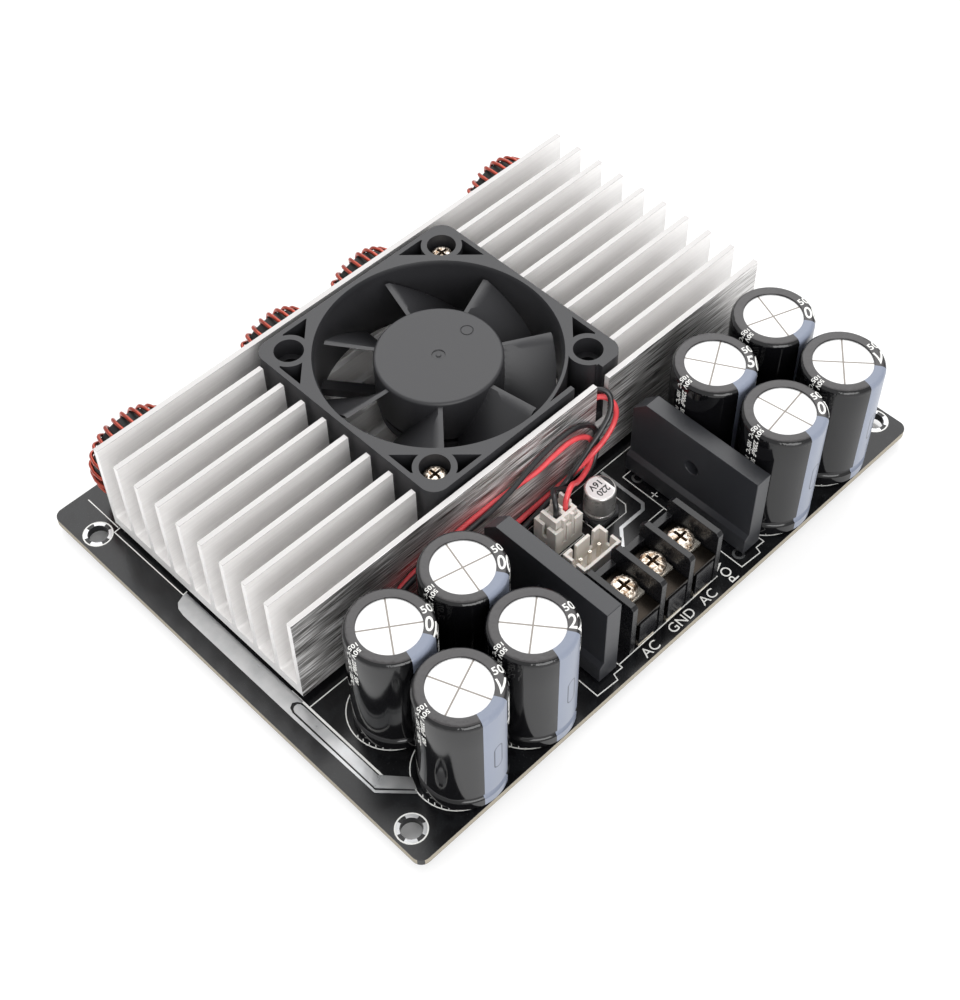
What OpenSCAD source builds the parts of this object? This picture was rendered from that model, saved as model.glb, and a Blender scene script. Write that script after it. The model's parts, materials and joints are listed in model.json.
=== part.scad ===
// Audio amplifier board: circuit board, finned heat sink with a recessed fan,
// supply capacitors, bridge rectifiers, supply terminals, headers and output inductors.
// Millimetres. Origin: middle of the four mounting holes on the board's underside, +Z up.

/* [Board] */
// Length of the circuit board along X
board_l = 134; // [132:0.5:160]
// Depth of the circuit board along Y
board_d = 104; // [102:0.5:130]
// Thickness of the circuit board
board_t = 1.6; // [1:0.1:2.4]
// Corner radius of the circuit board
board_r = 2; // [0.5:0.5:3]
// Spacing of the mounting holes along X
hole_dx = 127; // [124:0.5:128]
// Spacing of the mounting holes along Y
hole_dy = 88; // [84:0.5:90]
// Front mounting holes to the board's front edge
hole_front = 6; // [5:0.5:8]
// Diameter of the mounting holes
hole_d = 4; // [3:0.1:4.4]
// Length of the trimmed leads below the board
lead_tail = 2; // [1.9:0.1:3]
// Clearance round a lead in its drilled hole
lead_clear = 0.15; // [0.05:0.05:0.3]
// Height of a solder joint below the board
solder_h = 0.9; // [0.5:0.1:1.4]
// Width of solder round a lead
solder_w = 0.8; // [0.5:0.1:1]

/* [Heat sink] */
// Length of the heat sink along X
sink_l = 121.6; // [112:0.2:121.6]
// Width of the heat sink along Y
sink_w = 55; // [54:0.5:56]
// Height of the heat sink from its underside to the fin tops
sink_h = 22.2; // [20:0.2:30]
// Thickness of the heat sink's base
sink_base = 2.6; // [2:0.1:3.4]
// Number of fins
fin_count = 10; // [6:1:12]
// Thickness of a fin
fin_t = 1.1; // [0.8:0.1:1.4]
// Radius of the fillet between a fin and the base
fin_fillet = 0.6; // [0.2:0.1:0.8]
// Middle of the heat sink along X
sink_x = 0.9; // [0:0.1:1]
// Middle of the heat sink along Y
sink_y = 15.3; // [15:0.1:15.6]
// Depth of the fan's pocket below the fin tops
pocket_depth = 13.8; // [11:0.2:14.4]
// Clearance at the cut ends of the fins beside the fan
pocket_clear = 0.8; // [0.4:0.1:1.5]
// Width of the wire notch in the front fin
notch_w = 3.2; // [3.2:0.1:4.4]
// Middle of the wire notch along X
notch_x = 16.9; // [16.8:0.1:17]
// Depth of the wire notch below the fin tops
notch_depth = 12; // [7:0.5:15]
// Spacing of the heat sink's screws along X
sink_screw_dx = 84; // [70:1:100]
// Channels between the screw rows and the middle of the heat sink
sink_screw_row = 3; // [2:1:3]
// Diameter of the heat sink's screws
sink_screw_d = 3; // [2:0.5:3]
// Head diameter of the heat sink's screws
sink_screw_head_d = 5.5; // [4:0.1:6]
// Head height of the heat sink's screws
sink_screw_head_h = 1.7; // [1:0.1:1.8]

/* [Amplifier chips] */
// Body length of an amplifier chip along X
chip_l = 15.9; // [12:0.1:18]
// Body width of an amplifier chip along Y
chip_w = 11; // [8:0.1:12]
// Height of an amplifier chip above the board
chip_h = 1.2; // [1:0.1:2]
// Spacing between the two amplifier chips
chip_dx = 52; // [40:1:60]
// Leads along each side of a chip
chip_leads = 12; // [8:1:14]
// Thickness of the thermal pads
pad_t = 0.3; // [0.2:0.1:0.6]

/* [Fan] */
// Width of the square fan frame
fan_w = 50; // [48:0.2:50.6]
// Depth of the fan frame
fan_t = 15; // [14.6:0.2:20]
// Middle of the fan along X
fan_x = 0.3; // [0:0.1:1]
// Middle of the fan along Y
fan_y = 14.9; // [14.7:0.1:15.3]
// Spacing of the fan's screw holes
fan_hole = 40; // [39.6:0.1:40.4]
// Corner radius of the fan frame
fan_r = 3.2; // [2:0.1:4]
// Diameter of the fan's air duct
duct_d = 47; // [46.4:0.1:47.4]
// Wall between the duct and the corner pockets
duct_wall = 1.1; // [0.8:0.1:1.3]
// Start of the open side where the wires leave the frame, from the fan's middle
exit_x = 11; // [10.6:0.1:11.4]
// Width of that open side
exit_w = 7.6; // [7:0.1:8]
// Outer wall of the fan frame at its corner pockets
frame_wall = 1; // [0.8:0.1:1.4]
// Solid web before each corner pocket, from the fan's middle
corner_web = 25.5; // [25.2:0.1:26]
// Solid corner behind each screw post, from the fan's middle
corner_fill = 29.7; // [29:0.1:30.2]
// Floor left under the corner pockets
frame_floor = 2.5; // [1.5:0.1:4]
// Thickness of the struts and motor plate
strut_t = 2; // [1.5:0.1:2.2]
// Width of the struts
strut_w = 2.4; // [1.6:0.1:4]
// Diameter of the recesses for the screw heads
recess_d = 5.8; // [5.4:0.1:6.2]
// Depth of the recesses for the screw heads
recess_depth = 4; // [3.6:0.1:4.6]
// Radius of the post round each screw hole
post_r = 4.1; // [3.8:0.1:4.4]
// Shank diameter of the fan's screws
fan_screw_d = 2.9; // [2.4:0.1:3]
// Shank length of the fan's screws
fan_screw_l = 16; // [14:0.5:16.4]
// Head diameter of the fan's screws
fan_screw_head_d = 4.6; // [4.2:0.1:5.2]
// Head height of the fan's screws
fan_screw_head_h = 2; // [1.6:0.1:2.6]

/* [Fan rotor and motor] */
// Diameter of the rotor's hub
hub_d = 25; // [24:0.1:27]
// Hub face below the top of the frame
hub_drop = 1.3; // [0.8:0.1:1.8]
// Wall of the hub's rim
hub_wall = 0.9; // [0.7:0.1:1.2]
// Thickness of the hub's face
hub_face = 1.4; // [1:0.1:1.8]
// Number of blades
blade_count = 7; // [5:1:9]
// Diameter over the blade tips
blade_d = 44.8; // [43:0.1:45.4]
// Thickness of a blade
blade_t = 0.9; // [0.7:0.1:1.2]
// Angle that a blade turns from its lower to its upper edge
blade_sweep = 36; // [20:1:50]
// Upper blade edge below the hub's face
blade_drop = 0.8; // [0.4:0.1:2]
// Running gap between the moving and the still pieces
run_gap = 0.8; // [0.6:0.1:1]
// Turn of the rotor at rest
rotor_turn = 22; // [0:1:51]
// Diameter of the fan's shaft
shaft_d = 2; // [1.5:0.1:2.4]
// Running clearance of the shaft in its bearing
shaft_clear = 0.05; // [0.02:0.01:0.1]
// Outer diameter of the bearing sleeve
bearing_d = 5; // [4.4:0.1:5.4]
// Wall of the bearing tube on the motor plate
tube_wall = 0.9; // [0.7:0.1:1.1]
// Wall of the steel yoke in the hub
yoke_wall = 0.7; // [0.5:0.1:0.9]
// Wall of the ring magnet
magnet_wall = 1.8; // [1.4:0.1:2]
// Air gap between magnet and stator
air_gap = 0.5; // [0.4:0.05:0.6]
// Stack height of the stator core
core_h = 4; // [3:0.1:4.2]
// Width of a stator arm
arm_w = 2.6; // [2:0.1:3]
// Thickness of the fan's circuit board
driver_t = 1; // [0.8:0.1:1.2]

/* [Capacitors] */
// Diameter of a supply capacitor over its sleeve
cap_d = 16; // [14:0.1:18]
// Height of a supply capacitor above the board
cap_h = 27.4; // [20:0.2:36]
// Stand-off of a capacitor above the board
cap_gap = 0.3; // [0.1:0.1:0.6]
// Diameter of the bare metal disc on top
cap_top_d = 11.4; // [9:0.1:12.4]
// Depth of the bare disc below the sleeve's rolled edge
cap_top_drop = 0.35; // [0.1:0.05:0.6]
// Depth of the crimp groove near the foot
cap_groove = 0.6; // [0.2:0.1:1]
// Lead spacing of a capacitor
cap_lead_pitch = 7.5; // [5:0.5:8]
// Lead diameter of a capacitor
cap_lead_d = 0.8; // [0.6:0.1:1]
// Gap between the right rectifier and the nearest capacitors
cap_rect_gap = 0.6; // [0.4:0.1:2]
// Gap between the capacitor columns
cap_col_gap = 0.9; // [0.5:0.1:1.8]
// Gap between the capacitor rows
cap_row_gap = 0.6; // [0.5:0.1:1]
// How far the front capacitors reach past the board's front edge
cap_overhang = 0.2; // [-1:0.1:0.4]

/* [Rectifiers] */
// Length of a rectifier along Y
rect_l = 30; // [28:0.1:30.4]
// Height of a rectifier's body
rect_h = 20; // [17:0.1:24]
// Thickness of a rectifier's upper body
rect_t = 3.6; // [3:0.1:3.8]
// Thickness of a rectifier's lower bar
rect_bar_t = 4.6; // [4:0.1:5]
// Height of the lower bar
rect_bar_h = 4; // [3:0.1:6]
// Chamfer at the upper rear corner
rect_chamfer = 3; // [1:0.1:5]
// Diameter of a rectifier's screw hole
rect_hole_d = 3.2; // [2.8:0.1:4]
// Stand-off of a rectifier above the board
rect_gap = 0.6; // [0.2:0.1:1.5]
// Front end of the rectifiers along Y
rect_front_y = -47; // [-47.4:0.1:-46.6]
// Right-hand face of the left rectifier along X
rect_left_x = -15.7; // [-17:0.1:-15]
// Right-hand face of the right rectifier along X
rect_right_x = 24; // [22:0.1:24.2]
// Width of a rectifier lead
rect_lead = 0.9; // [0.6:0.1:1.1]

/* [Terminal block] */
// Terminals in the supply block
term_count = 3; // [2:1:3]
// Spacing of the terminals
term_pitch = 7.62; // [7:0.01:7.8]
// Middle of the supply block along X
term_x = 0.3; // [0:0.1:1]
// Front face of the supply block along Y
term_front_y = -46.6; // [-47:0.1:-46]
// Depth of the supply block along Y
term_d = 12.3; // [11.5:0.1:13]
// Height of the barrier walls
term_h = 14; // [13.6:0.1:16]
// Thickness of the barrier walls
term_wall = 1.3; // [1:0.1:1.8]
// Height of the block's floor under the contacts
term_floor = 7.6; // [7:0.1:8]
// Thickness of a contact
contact_t = 0.8; // [0.6:0.1:1]
// Width of a contact's foot at the front
contact_foot_w = 4.2; // [3:0.1:5]
// Width of a contact's pin through the board
contact_pin_w = 1.2; // [0.8:0.1:1.6]
// Thickness of a clamp washer
clamp_t = 0.8; // [0.6:0.1:1]
// Width of a square clamp washer
clamp_w = 5.4; // [5:0.1:5.6]
// Diameter of a terminal screw
term_screw_d = 3; // [2.5:0.1:3.2]
// Length of a terminal screw's shank
term_screw_l = 6.5; // [5:0.1:7]
// Head diameter of a terminal screw
term_head_d = 5.2; // [4.6:0.1:5.4]
// Head height of a terminal screw
term_head_h = 2; // [1.4:0.1:2.2]
// Clearance between a clamp and the pieces beside it
clamp_clear = 0.3; // [0.2:0.05:0.4]

/* [Headers] */
// Pin spacing of the small headers
pin_pitch = 2.5; // [2.3:0.05:2.6]
// Pin width of the small headers
pin_w = 0.64; // [0.5:0.02:0.8]
// Depth of a small header along Y
header_d = 5.75; // [5.5:0.05:6]
// Height of a small header
header_h = 7; // [6.5:0.1:7.4]
// Wall of a small header
header_wall = 0.7; // [0.6:0.05:0.9]
// Floor of a small header
header_floor = 1.4; // [1:0.1:2]
// End pins to the outside of a small header
header_end = 2.45; // [2.3:0.05:2.6]
// Pin row to the nearer long side of a small header
header_row = 2.35; // [2.2:0.05:2.6]
// Pin height above the board in a small header
pin_top = 5.6; // [5:0.1:6.4]
// Middle of the audio header's pins along X
audio_x = -3; // [-3.2:0.1:-2.4]
// Pin row of the audio header along Y
audio_y = -28.3; // [-28.6:0.1:-28]
// Middle of the fan header's pins along X
fan_header_x = -2; // [-2.2:0.1:-1.8]
// Pin row of the fan header along Y
fan_header_y = -19.75; // [-19.9:0.05:-19.6]
// Clearance between the fan plug and its header
plug_clear = 0.15; // [0.05:0.05:0.2]
// Height of the fan plug's top above the board
plug_top = 9; // [8.6:0.1:9.4]
// Side of a wire cell in the fan plug
plug_cell = 1.6; // [1.3:0.1:1.8]
// Pin spacing of the speaker headers
speaker_pitch = 3.96; // [3.5:0.02:5.08]
// Pin width of the speaker headers
speaker_pin = 1.14; // [0.9:0.02:1.3]
// Depth of a speaker header along Y
speaker_d = 8; // [7:0.1:8.4]
// Height of a speaker header's base
speaker_base = 3.2; // [2.5:0.1:4]
// Height of a speaker header's locking wall
speaker_h = 9.4; // [8:0.1:11]
// Pin height above the board in a speaker header
speaker_pin_top = 9; // [7:0.1:10]

/* [Inductors] */
// Outer diameter of an inductor core
core_d = 17; // [15:0.1:17.4]
// Bore of an inductor core
core_bore = 9.4; // [8.4:0.1:10]
// Axial height of an inductor core
ring_h = 6; // [5:0.1:6.4]
// Edge radius of an inductor core
ring_r = 0.7; // [0.3:0.1:1]
// Diameter of the winding wire
wire_d = 0.8; // [0.6:0.05:0.9]
// Turns of an inductor's winding
turns = 22; // [10:1:22]
// Angle round the core that the winding covers
winding_arc = 300; // [270:1:312]
// Clearance between winding and core
wind_clear = 0.1; // [0.05:0.05:0.2]
// Gap between the heat sink and the inductors behind it
coil_sink_gap = 0.5; // [0.3:0.1:1.2]
// Lowest turn above the board
coil_gap = 0.2; // [0.1:0.1:0.6]

/* [Surface parts] */
// Diameter of the surface-mount capacitor
smd_d = 6.3; // [5:0.1:6.6]
// Height of the surface-mount capacitor
smd_h = 7.7; // [5.4:0.1:8]
// Height of its plastic base
smd_base = 1.2; // [0.8:0.1:1.6]
// Middle of the surface-mount capacitor along X
smd_x = 8; // [7.8:0.1:9]
// Middle of the surface-mount capacitor along Y
smd_y = -20.6; // [-22:0.1:-20.4]
// Length of a chip resistor
resistor_l = 2; // [1.6:0.1:2.2]
// Width of a chip resistor
resistor_w = 1.25; // [0.8:0.05:1.4]
// Height of a chip resistor
resistor_h = 0.55; // [0.4:0.05:0.7]

/* [Fan lead] */
// Diameter of a fan wire
lead_d = 1.1; // [0.9:0.05:1.15]

/* [Hidden] */
$fn = 48;

// Overlap of cutting tools past the faces they open
eps = 0.05;
// Board top, and how far every lead reaches below the origin
deck = board_t;
front_edge = -hole_dy / 2 - hole_front;

// Heat sink: underside, base top, fin tops and fin places
sink_z = deck + chip_h + pad_t;
sink_floor = sink_z + sink_base;
sink_top = sink_z + sink_h;
sink_front = sink_y - sink_w / 2;
fin_pitch = (sink_w - fin_t) / (fin_count - 1);
sink_screw_y = sink_screw_row * fin_pitch;

// Fan: seat on the shortened fins, and heights measured from it
fan_z = sink_top - pocket_depth;
hub_top = fan_t - hub_drop;
hub_low = strut_t + driver_t + run_gap / 2;
blade_low = strut_t + run_gap;
blade_high = hub_top - blade_drop;
hub_round = hub_face / 2;
glue = 0.1;
yoke_d = hub_d - 2 * hub_wall - 2 * glue;
magnet_d = yoke_d - 2 * yoke_wall - 2 * glue;
stator_d = magnet_d - 2 * magnet_wall - 2 * air_gap;
inner_top = hub_top - hub_face;
tube_d = bearing_d + 2 * glue + 2 * tube_wall;
shoulder_d = tube_d + 2;
stator_mid = (hub_low + inner_top) / 2;
stator_low = stator_mid - core_h / 2;
coil_side = 0.8;
coil_depth = (stator_d - tube_d) / 2 - 3;
tube_top = inner_top - yoke_wall - 1.6;
wire_angle = -52.5;

// Places on the board
cap_inner_x = rect_right_x + cap_rect_gap + cap_d / 2;
cap_col = cap_d + cap_col_gap;
cap_front_y = front_edge + cap_d / 2 - cap_overhang;
cap_row = cap_d + cap_row_gap;
cap_places = [for (side = [-1, 1], row = [0, 1], col = [0, 1])
    [side * (cap_inner_x + col * cap_col), cap_front_y + row * cap_row]];
rect_places = [rect_left_x, rect_right_x];
rect_lead_y = [for (share = [1 / 12, 5 / 12, 2 / 3, 11 / 12]) rect_front_y + share * rect_l];
chip_places = [for (side = [-1, 1]) [sink_x + side * chip_dx / 2, sink_y]];
coil_places = [-49.3, -13, 10.8, 49.6];
speaker_places = [(coil_places[0] + coil_places[1]) / 2, (coil_places[2] + coil_places[3]) / 2];
resistor_places = [[-8.6, -19.2], [-8.6, -22.4], [5.6, -27.2]];

// Terminal places along X and the heights of one terminal's stack
term_l = term_count * term_pitch + term_wall;
function term_at(i) = term_x + (i - (term_count - 1) / 2) * term_pitch;
term_axis_y = term_front_y + term_d / 2;
contact_top = deck + term_floor + contact_t;
clamp_top = contact_top + clamp_t;
term_hole_d = term_screw_d + 2 * clamp_clear;
foot_y = term_front_y + contact_t / 2;

// Winding: outer and inner places of the wire's middle, and the coil's height
wire_out = core_d / 2 + wind_clear + wire_d / 2;
wire_in = core_bore / 2 - wind_clear - wire_d / 2;
wire_side = ring_h / 2 + wind_clear + wire_d / 2;
coil_z = deck + coil_gap + wire_out + wire_d / 2;
wire_corner = 0.8;
coil_foot = wire_out * sin(180 - winding_arc / 2);
coil_y = sink_y + sink_w / 2 + coil_sink_gap + wire_side + wire_d / 2;

// Small header sizes for n pins
function header_l(n) = (n - 1) * pin_pitch + 2 * header_end;
function pin_at(n, i) = (i - (n - 1) / 2) * pin_pitch;

// Every lead through the board: place and width over its corners
square_over = sqrt(2);
drilled = concat(
    [for (p = cap_places, s = [-1, 1]) [p.x + s * cap_lead_pitch / 2, p.y, cap_lead_d]],
    [for (x = rect_places, y = rect_lead_y)
        [x - rect_bar_t / 2, y, rect_lead * square_over]],
    [for (i = [0 : 2]) [audio_x + pin_at(3, i), audio_y, pin_w * square_over]],
    [for (i = [0 : 1]) [fan_header_x + pin_at(2, i), fan_header_y, pin_w * square_over]],
    [for (x = speaker_places, s = [-1, 1])
        [x + s * speaker_pitch / 2, coil_y, speaker_pin * square_over]],
    [for (i = [0 : term_count - 1])
        [term_at(i), foot_y, sqrt(contact_pin_w * contact_pin_w + contact_t * contact_t)]],
    [for (x = coil_places, s = [-1, 1]) [x + s * coil_foot, coil_y, wire_d]]
);

// Routes of the two fan wires, heights above the board: up from the floor of the frame's pocket,
// through the notch, along the front fin to the left, back again and down into the plug
red_route = [
    [12.2, -7.6, 12.4], [12.2, -7.6, 14.4], [12.6, -8.3, 16.2], [13.9, -9.5, 17.7],
    [15.8, -10.6, 18.7], [17.3, -11.9, 19.2], [18.1, -13.5, 18.6], [18.4, -14.4, 16.9],
    [17.9, -14.8, 14.4], [15.8, -15.1, 12.2], [12.6, -15.2, 10.5], [8.6, -14.2, 7.2],
    [5.4, -13.4, 5.2], [2.2, -13.1, 4.3], [-4, -13.1, 3.8], [-10, -13.2, 3.6],
    [-17, -13.3, 3.4], [-24, -13.3, 3.4], [-31, -13.3, 3.8], [-36, -13.3, 5.2],
    [-38.6, -13.3, 8], [-37.8, -13.2, 11], [-34.6, -13, 12.7], [-29, -12.9, 13.8],
    [-22, -12.9, 14.8], [-15, -12.9, 15.1], [-8, -13.1, 15.1], [-2, -13.8, 15.7],
    [2, -13.9, 16.6], [6.6, -13.9, 16.8], [10.4, -13.8, 14.8], [12.6, -13.7, 11.8],
    [12.9, -13.9, 9.2], [11.5, -14.7, 7.4], [8.8, -15.9, 7.4], [5.4, -17.1, 8.6],
    [2.4, -18.35, 11.39], [1.35, -18.81, 11.7], [0.3, -19.28, 11.39],
    [-0.47, -19.62, 10.55], [-0.75, -19.75, 9.4], [-0.75, -19.75, 7]
];
black_route = [
    [14.2, -7.3, 12.4], [14.1, -7.4, 15.2], [14, -8.1, 18], [14.6, -9.3, 20],
    [15.7, -10.5, 21.1], [16.8, -11.8, 21.6], [17.4, -13.1, 21.1], [17.2, -14.1, 19.7],
    [16.1, -14.9, 17.9], [14.2, -15.2, 16], [10.6, -15.2, 12.9], [7.4, -15, 9.8],
    [4.2, -14.8, 7], [0, -14.6, 5], [-5, -14.6, 3.6], [-10, -14.7, 2.9], [-17, -14.8, 2.6],
    [-24, -14.8, 2.6], [-31, -14.8, 2.8], [-36.6, -14.7, 4], [-40, -14.5, 7.4],
    [-39.4, -14.3, 11.2], [-35.6, -14.2, 13.3], [-29, -14.2, 14.2], [-22, -14.2, 14.9],
    [-15, -14.2, 15.5], [-9, -13.9, 16.4], [-4, -13.3, 17.2], [0.4, -12.95, 17.9],
    [6, -12.95, 18.5], [10.6, -12.9, 17.1], [14, -12.9, 13.8], [15, -13, 10.2],
    [14, -13.9, 7], [11.2, -15, 5.3], [7.4, -15.9, 5.4], [4, -16.3, 7.2], [1.1, -16.4, 9.6],
    [-0.4, -16.5, 10.9], [-1.44, -17.16, 11.53], [-2.07, -18.06, 11.69],
    [-2.67, -18.92, 11.31], [-3.1, -19.53, 10.48], [-3.25, -19.75, 9.4], [-3.25, -19.75, 7]
];

// Swept wire: rings of a polygon carried along a list of points without twist
function unit(v) = v / norm(v);
function heading(pts, i) =
    unit(pts[min(i + 1, len(pts) - 1)] - pts[max(i - 1, 0)]);
function carried(pts, i, side) =
    let (t = heading(pts, i), flat = unit(side - t * (side * t)))
    i == len(pts) - 1 ? [flat] : concat([flat], carried(pts, i + 1, flat));
module swept(pts, d, sides, side) {
    sides_at = carried(pts, 0, side);
    rings = [for (i = [0 : len(pts) - 1])
        let (t = heading(pts, i), u = sides_at[i], v = cross(t, u))
        for (k = [0 : sides - 1])
            pts[i] + d / 2 * (u * cos(360 * k / sides) + v * sin(360 * k / sides))];
    last = (len(pts) - 1) * sides;
    skin = [for (i = [0 : len(pts) - 2], k = [0 : sides - 1])
        let (a = i * sides + k, b = i * sides + (k + 1) % sides)
        each [[a, b + sides, b], [a, a + sides, b + sides]]];
    caps = [
        [for (k = [0 : sides - 1]) k],
        [for (k = [sides - 1 : -1 : 0]) last + k]
    ];
    polyhedron(points = rings, faces = concat(skin, caps), convexity = 10);
}

// Rectangle with round corners, centred
module rounded_rect(l, d, r) {
    square([l - 2 * r, d], center = true);
    square([l, d - 2 * r], center = true);
    for (x = [-1, 1], y = [-1, 1])
        translate([x * (l / 2 - r), y * (d / 2 - r)])
            circle(r);
}

// Cross-head recess cut down into a screw head whose top lies at the origin
module cross_recess(d, depth) {
    for (a = [0, 90])
        rotate(a)
            translate([-d / 2, -d / 10, -depth])
                cube([d, d / 5, depth + eps]);
}

// Pan-head screw standing on its head's underside, shank down
module pan_screw(head_d, head_h, shank_d, shank_l) {
    difference() {
        union() {
            rotate_extrude()
                intersection() {
                    square([head_d / 2, head_h]);
                    union() {
                        square([head_d / 2 - head_h / 2, head_h]);
                        translate([head_d / 2 - head_h / 2, head_h / 2])
                            circle(head_h / 2);
                        square([head_d / 2, head_h / 2]);
                    }
                }
            translate([0, 0, -shank_l])
                cylinder(h = shank_l + eps, d = shank_d);
        }
        translate([0, 0, head_h])
            cross_recess(head_d * 0.6, head_h * 0.6);
    }
}

module circuit_board() {
    color("#1b1c1e")
        linear_extrude(board_t)
            difference() {
                translate([0, front_edge + board_d / 2])
                    rounded_rect(board_l, board_d, board_r);
                for (x = [-1, 1], y = [-1, 1])
                    translate([x * hole_dx / 2, y * hole_dy / 2])
                        circle(d = hole_d);
                for (p = drilled)
                    translate([p.x, p.y])
                        circle(d = p.z + 2 * lead_clear, $fn = 24);
                for (x = [-1, 1], y = [-1, 1])
                    translate([sink_x + x * sink_screw_dx / 2, sink_y + y * sink_screw_y])
                        circle(d = sink_screw_d + 2 * lead_clear);
            }
}

// Cone of solder round every lead on the underside
module solder_joints() {
    color("#c9ccd1")
        for (p = drilled)
            translate([p.x, p.y, -solder_h])
                difference() {
                    cylinder(h = solder_h, d1 = p.z + solder_w / 2, d2 = p.z + 2 * solder_w);
                    translate([0, 0, -eps])
                        cylinder(h = solder_h + 2 * eps, d = p.z + lead_clear / 2);
                }
}

// Section of the extruded heat sink: base, fins and fillets at the fin roots
module sink_section() {
    difference() {
        square([sink_w, sink_h]);
        for (i = [0 : fin_count - 2])
            translate([i * fin_pitch + fin_t, sink_base]) {
                translate([fin_fillet, 0])
                    square([fin_pitch - fin_t - 2 * fin_fillet, sink_h]);
                translate([0, fin_fillet])
                    square([fin_pitch - fin_t, sink_h]);
                for (x = [fin_fillet, fin_pitch - fin_t - fin_fillet])
                    translate([x, fin_fillet])
                        circle(fin_fillet);
            }
    }
}

module heat_sink() {
    color("#c8cacc")
        difference() {
            translate([sink_x - sink_l / 2, sink_front, sink_z])
                rotate([90, 0, 90])
                    linear_extrude(sink_l)
                        sink_section();
            translate([fan_x - fan_w / 2 - pocket_clear, sink_front + fin_t, fan_z])
                cube([fan_w + 2 * pocket_clear, sink_w - 2 * fin_t, sink_top]);
            translate([notch_x - notch_w / 2, sink_front - eps, sink_top - notch_depth])
                cube([notch_w, fin_t + 2 * eps, sink_top]);
            for (s = [-1, 1])
                translate([fan_x + s * fan_hole / 2, fan_y + s * fan_hole / 2, sink_floor])
                    cylinder(h = sink_top, d = fan_screw_d + shaft_clear);
            for (x = [-1, 1], y = [-1, 1])
                translate([sink_x + x * sink_screw_dx / 2, sink_y + y * sink_screw_y, sink_z - eps])
                    cylinder(h = sink_base + 2 * eps, d = sink_screw_d + shaft_clear);
        }
}

// Screws from below the board into the heat sink's base
module sink_screws() {
    color("#b9bcc2")
        for (x = [-1, 1], y = [-1, 1])
            translate([sink_x + x * sink_screw_dx / 2, sink_y + y * sink_screw_y, 0])
                mirror([0, 0, 1])
                    pan_screw(sink_screw_head_d, sink_screw_head_h, sink_screw_d, sink_floor);
}

module thermal_pads() {
    color("#8f9aa6")
        for (p = chip_places)
            translate([p.x - chip_l / 2, p.y - chip_w / 2, deck + chip_h])
                cube([chip_l, chip_w, pad_t]);
}

// Flat power package: body with a row of bent leads along each long side
module amplifier_chip(i) {
    lead_w = 0.5;
    foot = 1.2;
    foot_t = 0.25;
    pitch = chip_l / chip_leads;
    color("#26272a")
        translate([chip_places[i].x, chip_places[i].y, deck])
            difference() {
                union() {
                    translate([-chip_l / 2, -chip_w / 2, foot_t / 2])
                        cube([chip_l, chip_w, chip_h - foot_t / 2]);
                    for (s = [-1, 1], k = [0 : chip_leads - 1])
                        translate([(k - (chip_leads - 1) / 2) * pitch - lead_w / 2, s * chip_w / 2, 0]) {
                            translate([0, s > 0 ? -eps : -foot, 0])
                                cube([lead_w, foot + eps, foot_t]);
                            translate([0, s > 0 ? -eps : -foot_t, 0])
                                cube([lead_w, foot_t + eps, chip_h / 2]);
                        }
                }
                translate([-chip_l / 2 + 1.4, -chip_w / 2 + 1.4, chip_h - 0.1])
                    cylinder(h = 1, d = 1);
            }
}

// One corner's two pockets beside the screw post; the wires start in a long one without a web
module corner_pockets(wires) {
    inner = fan_w / 2 - frame_wall;
    difference() {
        square(inner);
        circle(d = duct_d + 2 * duct_wall, $fn = 96);
        translate([fan_hole / 2, fan_hole / 2])
            circle(post_r);
        rotate(45) {
            translate([0, wires ? 0 : -fan_w / 2])
                square([corner_web, fan_w]);
            translate([corner_fill, -fan_w / 4])
                square([fan_w, fan_w / 2]);
        }
    }
}

module fan_frame() {
    pocket_h = fan_t - frame_floor;
    color("#2b2c2e")
        translate([fan_x, fan_y, fan_z]) {
            difference() {
                linear_extrude(fan_t)
                    rounded_rect(fan_w, fan_w, fan_r);
                translate([0, 0, -eps])
                    cylinder(h = fan_t + 2 * eps, d = duct_d, $fn = 96);
                translate([0, 0, fan_t - 1])
                    cylinder(h = 1 + eps, d1 = duct_d, d2 = duct_d + 1, $fn = 96);
                for (a = [0 : 90 : 270])
                    rotate(a) {
                        translate([0, 0, frame_floor])
                            linear_extrude(pocket_h + eps)
                                corner_pockets(a == 270);
                        translate([fan_hole / 2, fan_hole / 2, -eps])
                            cylinder(h = fan_t + 2 * eps, d = fan_screw_d + 0.4);
                        translate([fan_hole / 2, fan_hole / 2, fan_t - recess_depth])
                            cylinder(h = recess_depth + eps, d = recess_d);
                    }
                // Open side of the pocket where the wires leave
                translate([exit_x, -fan_w / 2 - eps, frame_floor])
                    cube([exit_w, frame_wall + 2 * eps, pocket_h + eps]);
            }
            // Motor plate on four struts, with the bearing tube and its shoulder
            difference() {
                union() {
                    cylinder(h = strut_t, d = hub_d - 1);
                    for (a = [0 : 90 : 270])
                        rotate(a + 90 + wire_angle)
                            translate([0, -strut_w / 2, 0])
                                cube([duct_d / 2 + duct_wall / 2, strut_w, strut_t]);
                    cylinder(h = stator_low, d = shoulder_d);
                    cylinder(h = tube_top, d = tube_d);
                }
                translate([0, 0, strut_t / 2])
                    cylinder(h = tube_top, d = bearing_d + shaft_clear);
            }
        }
}

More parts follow.
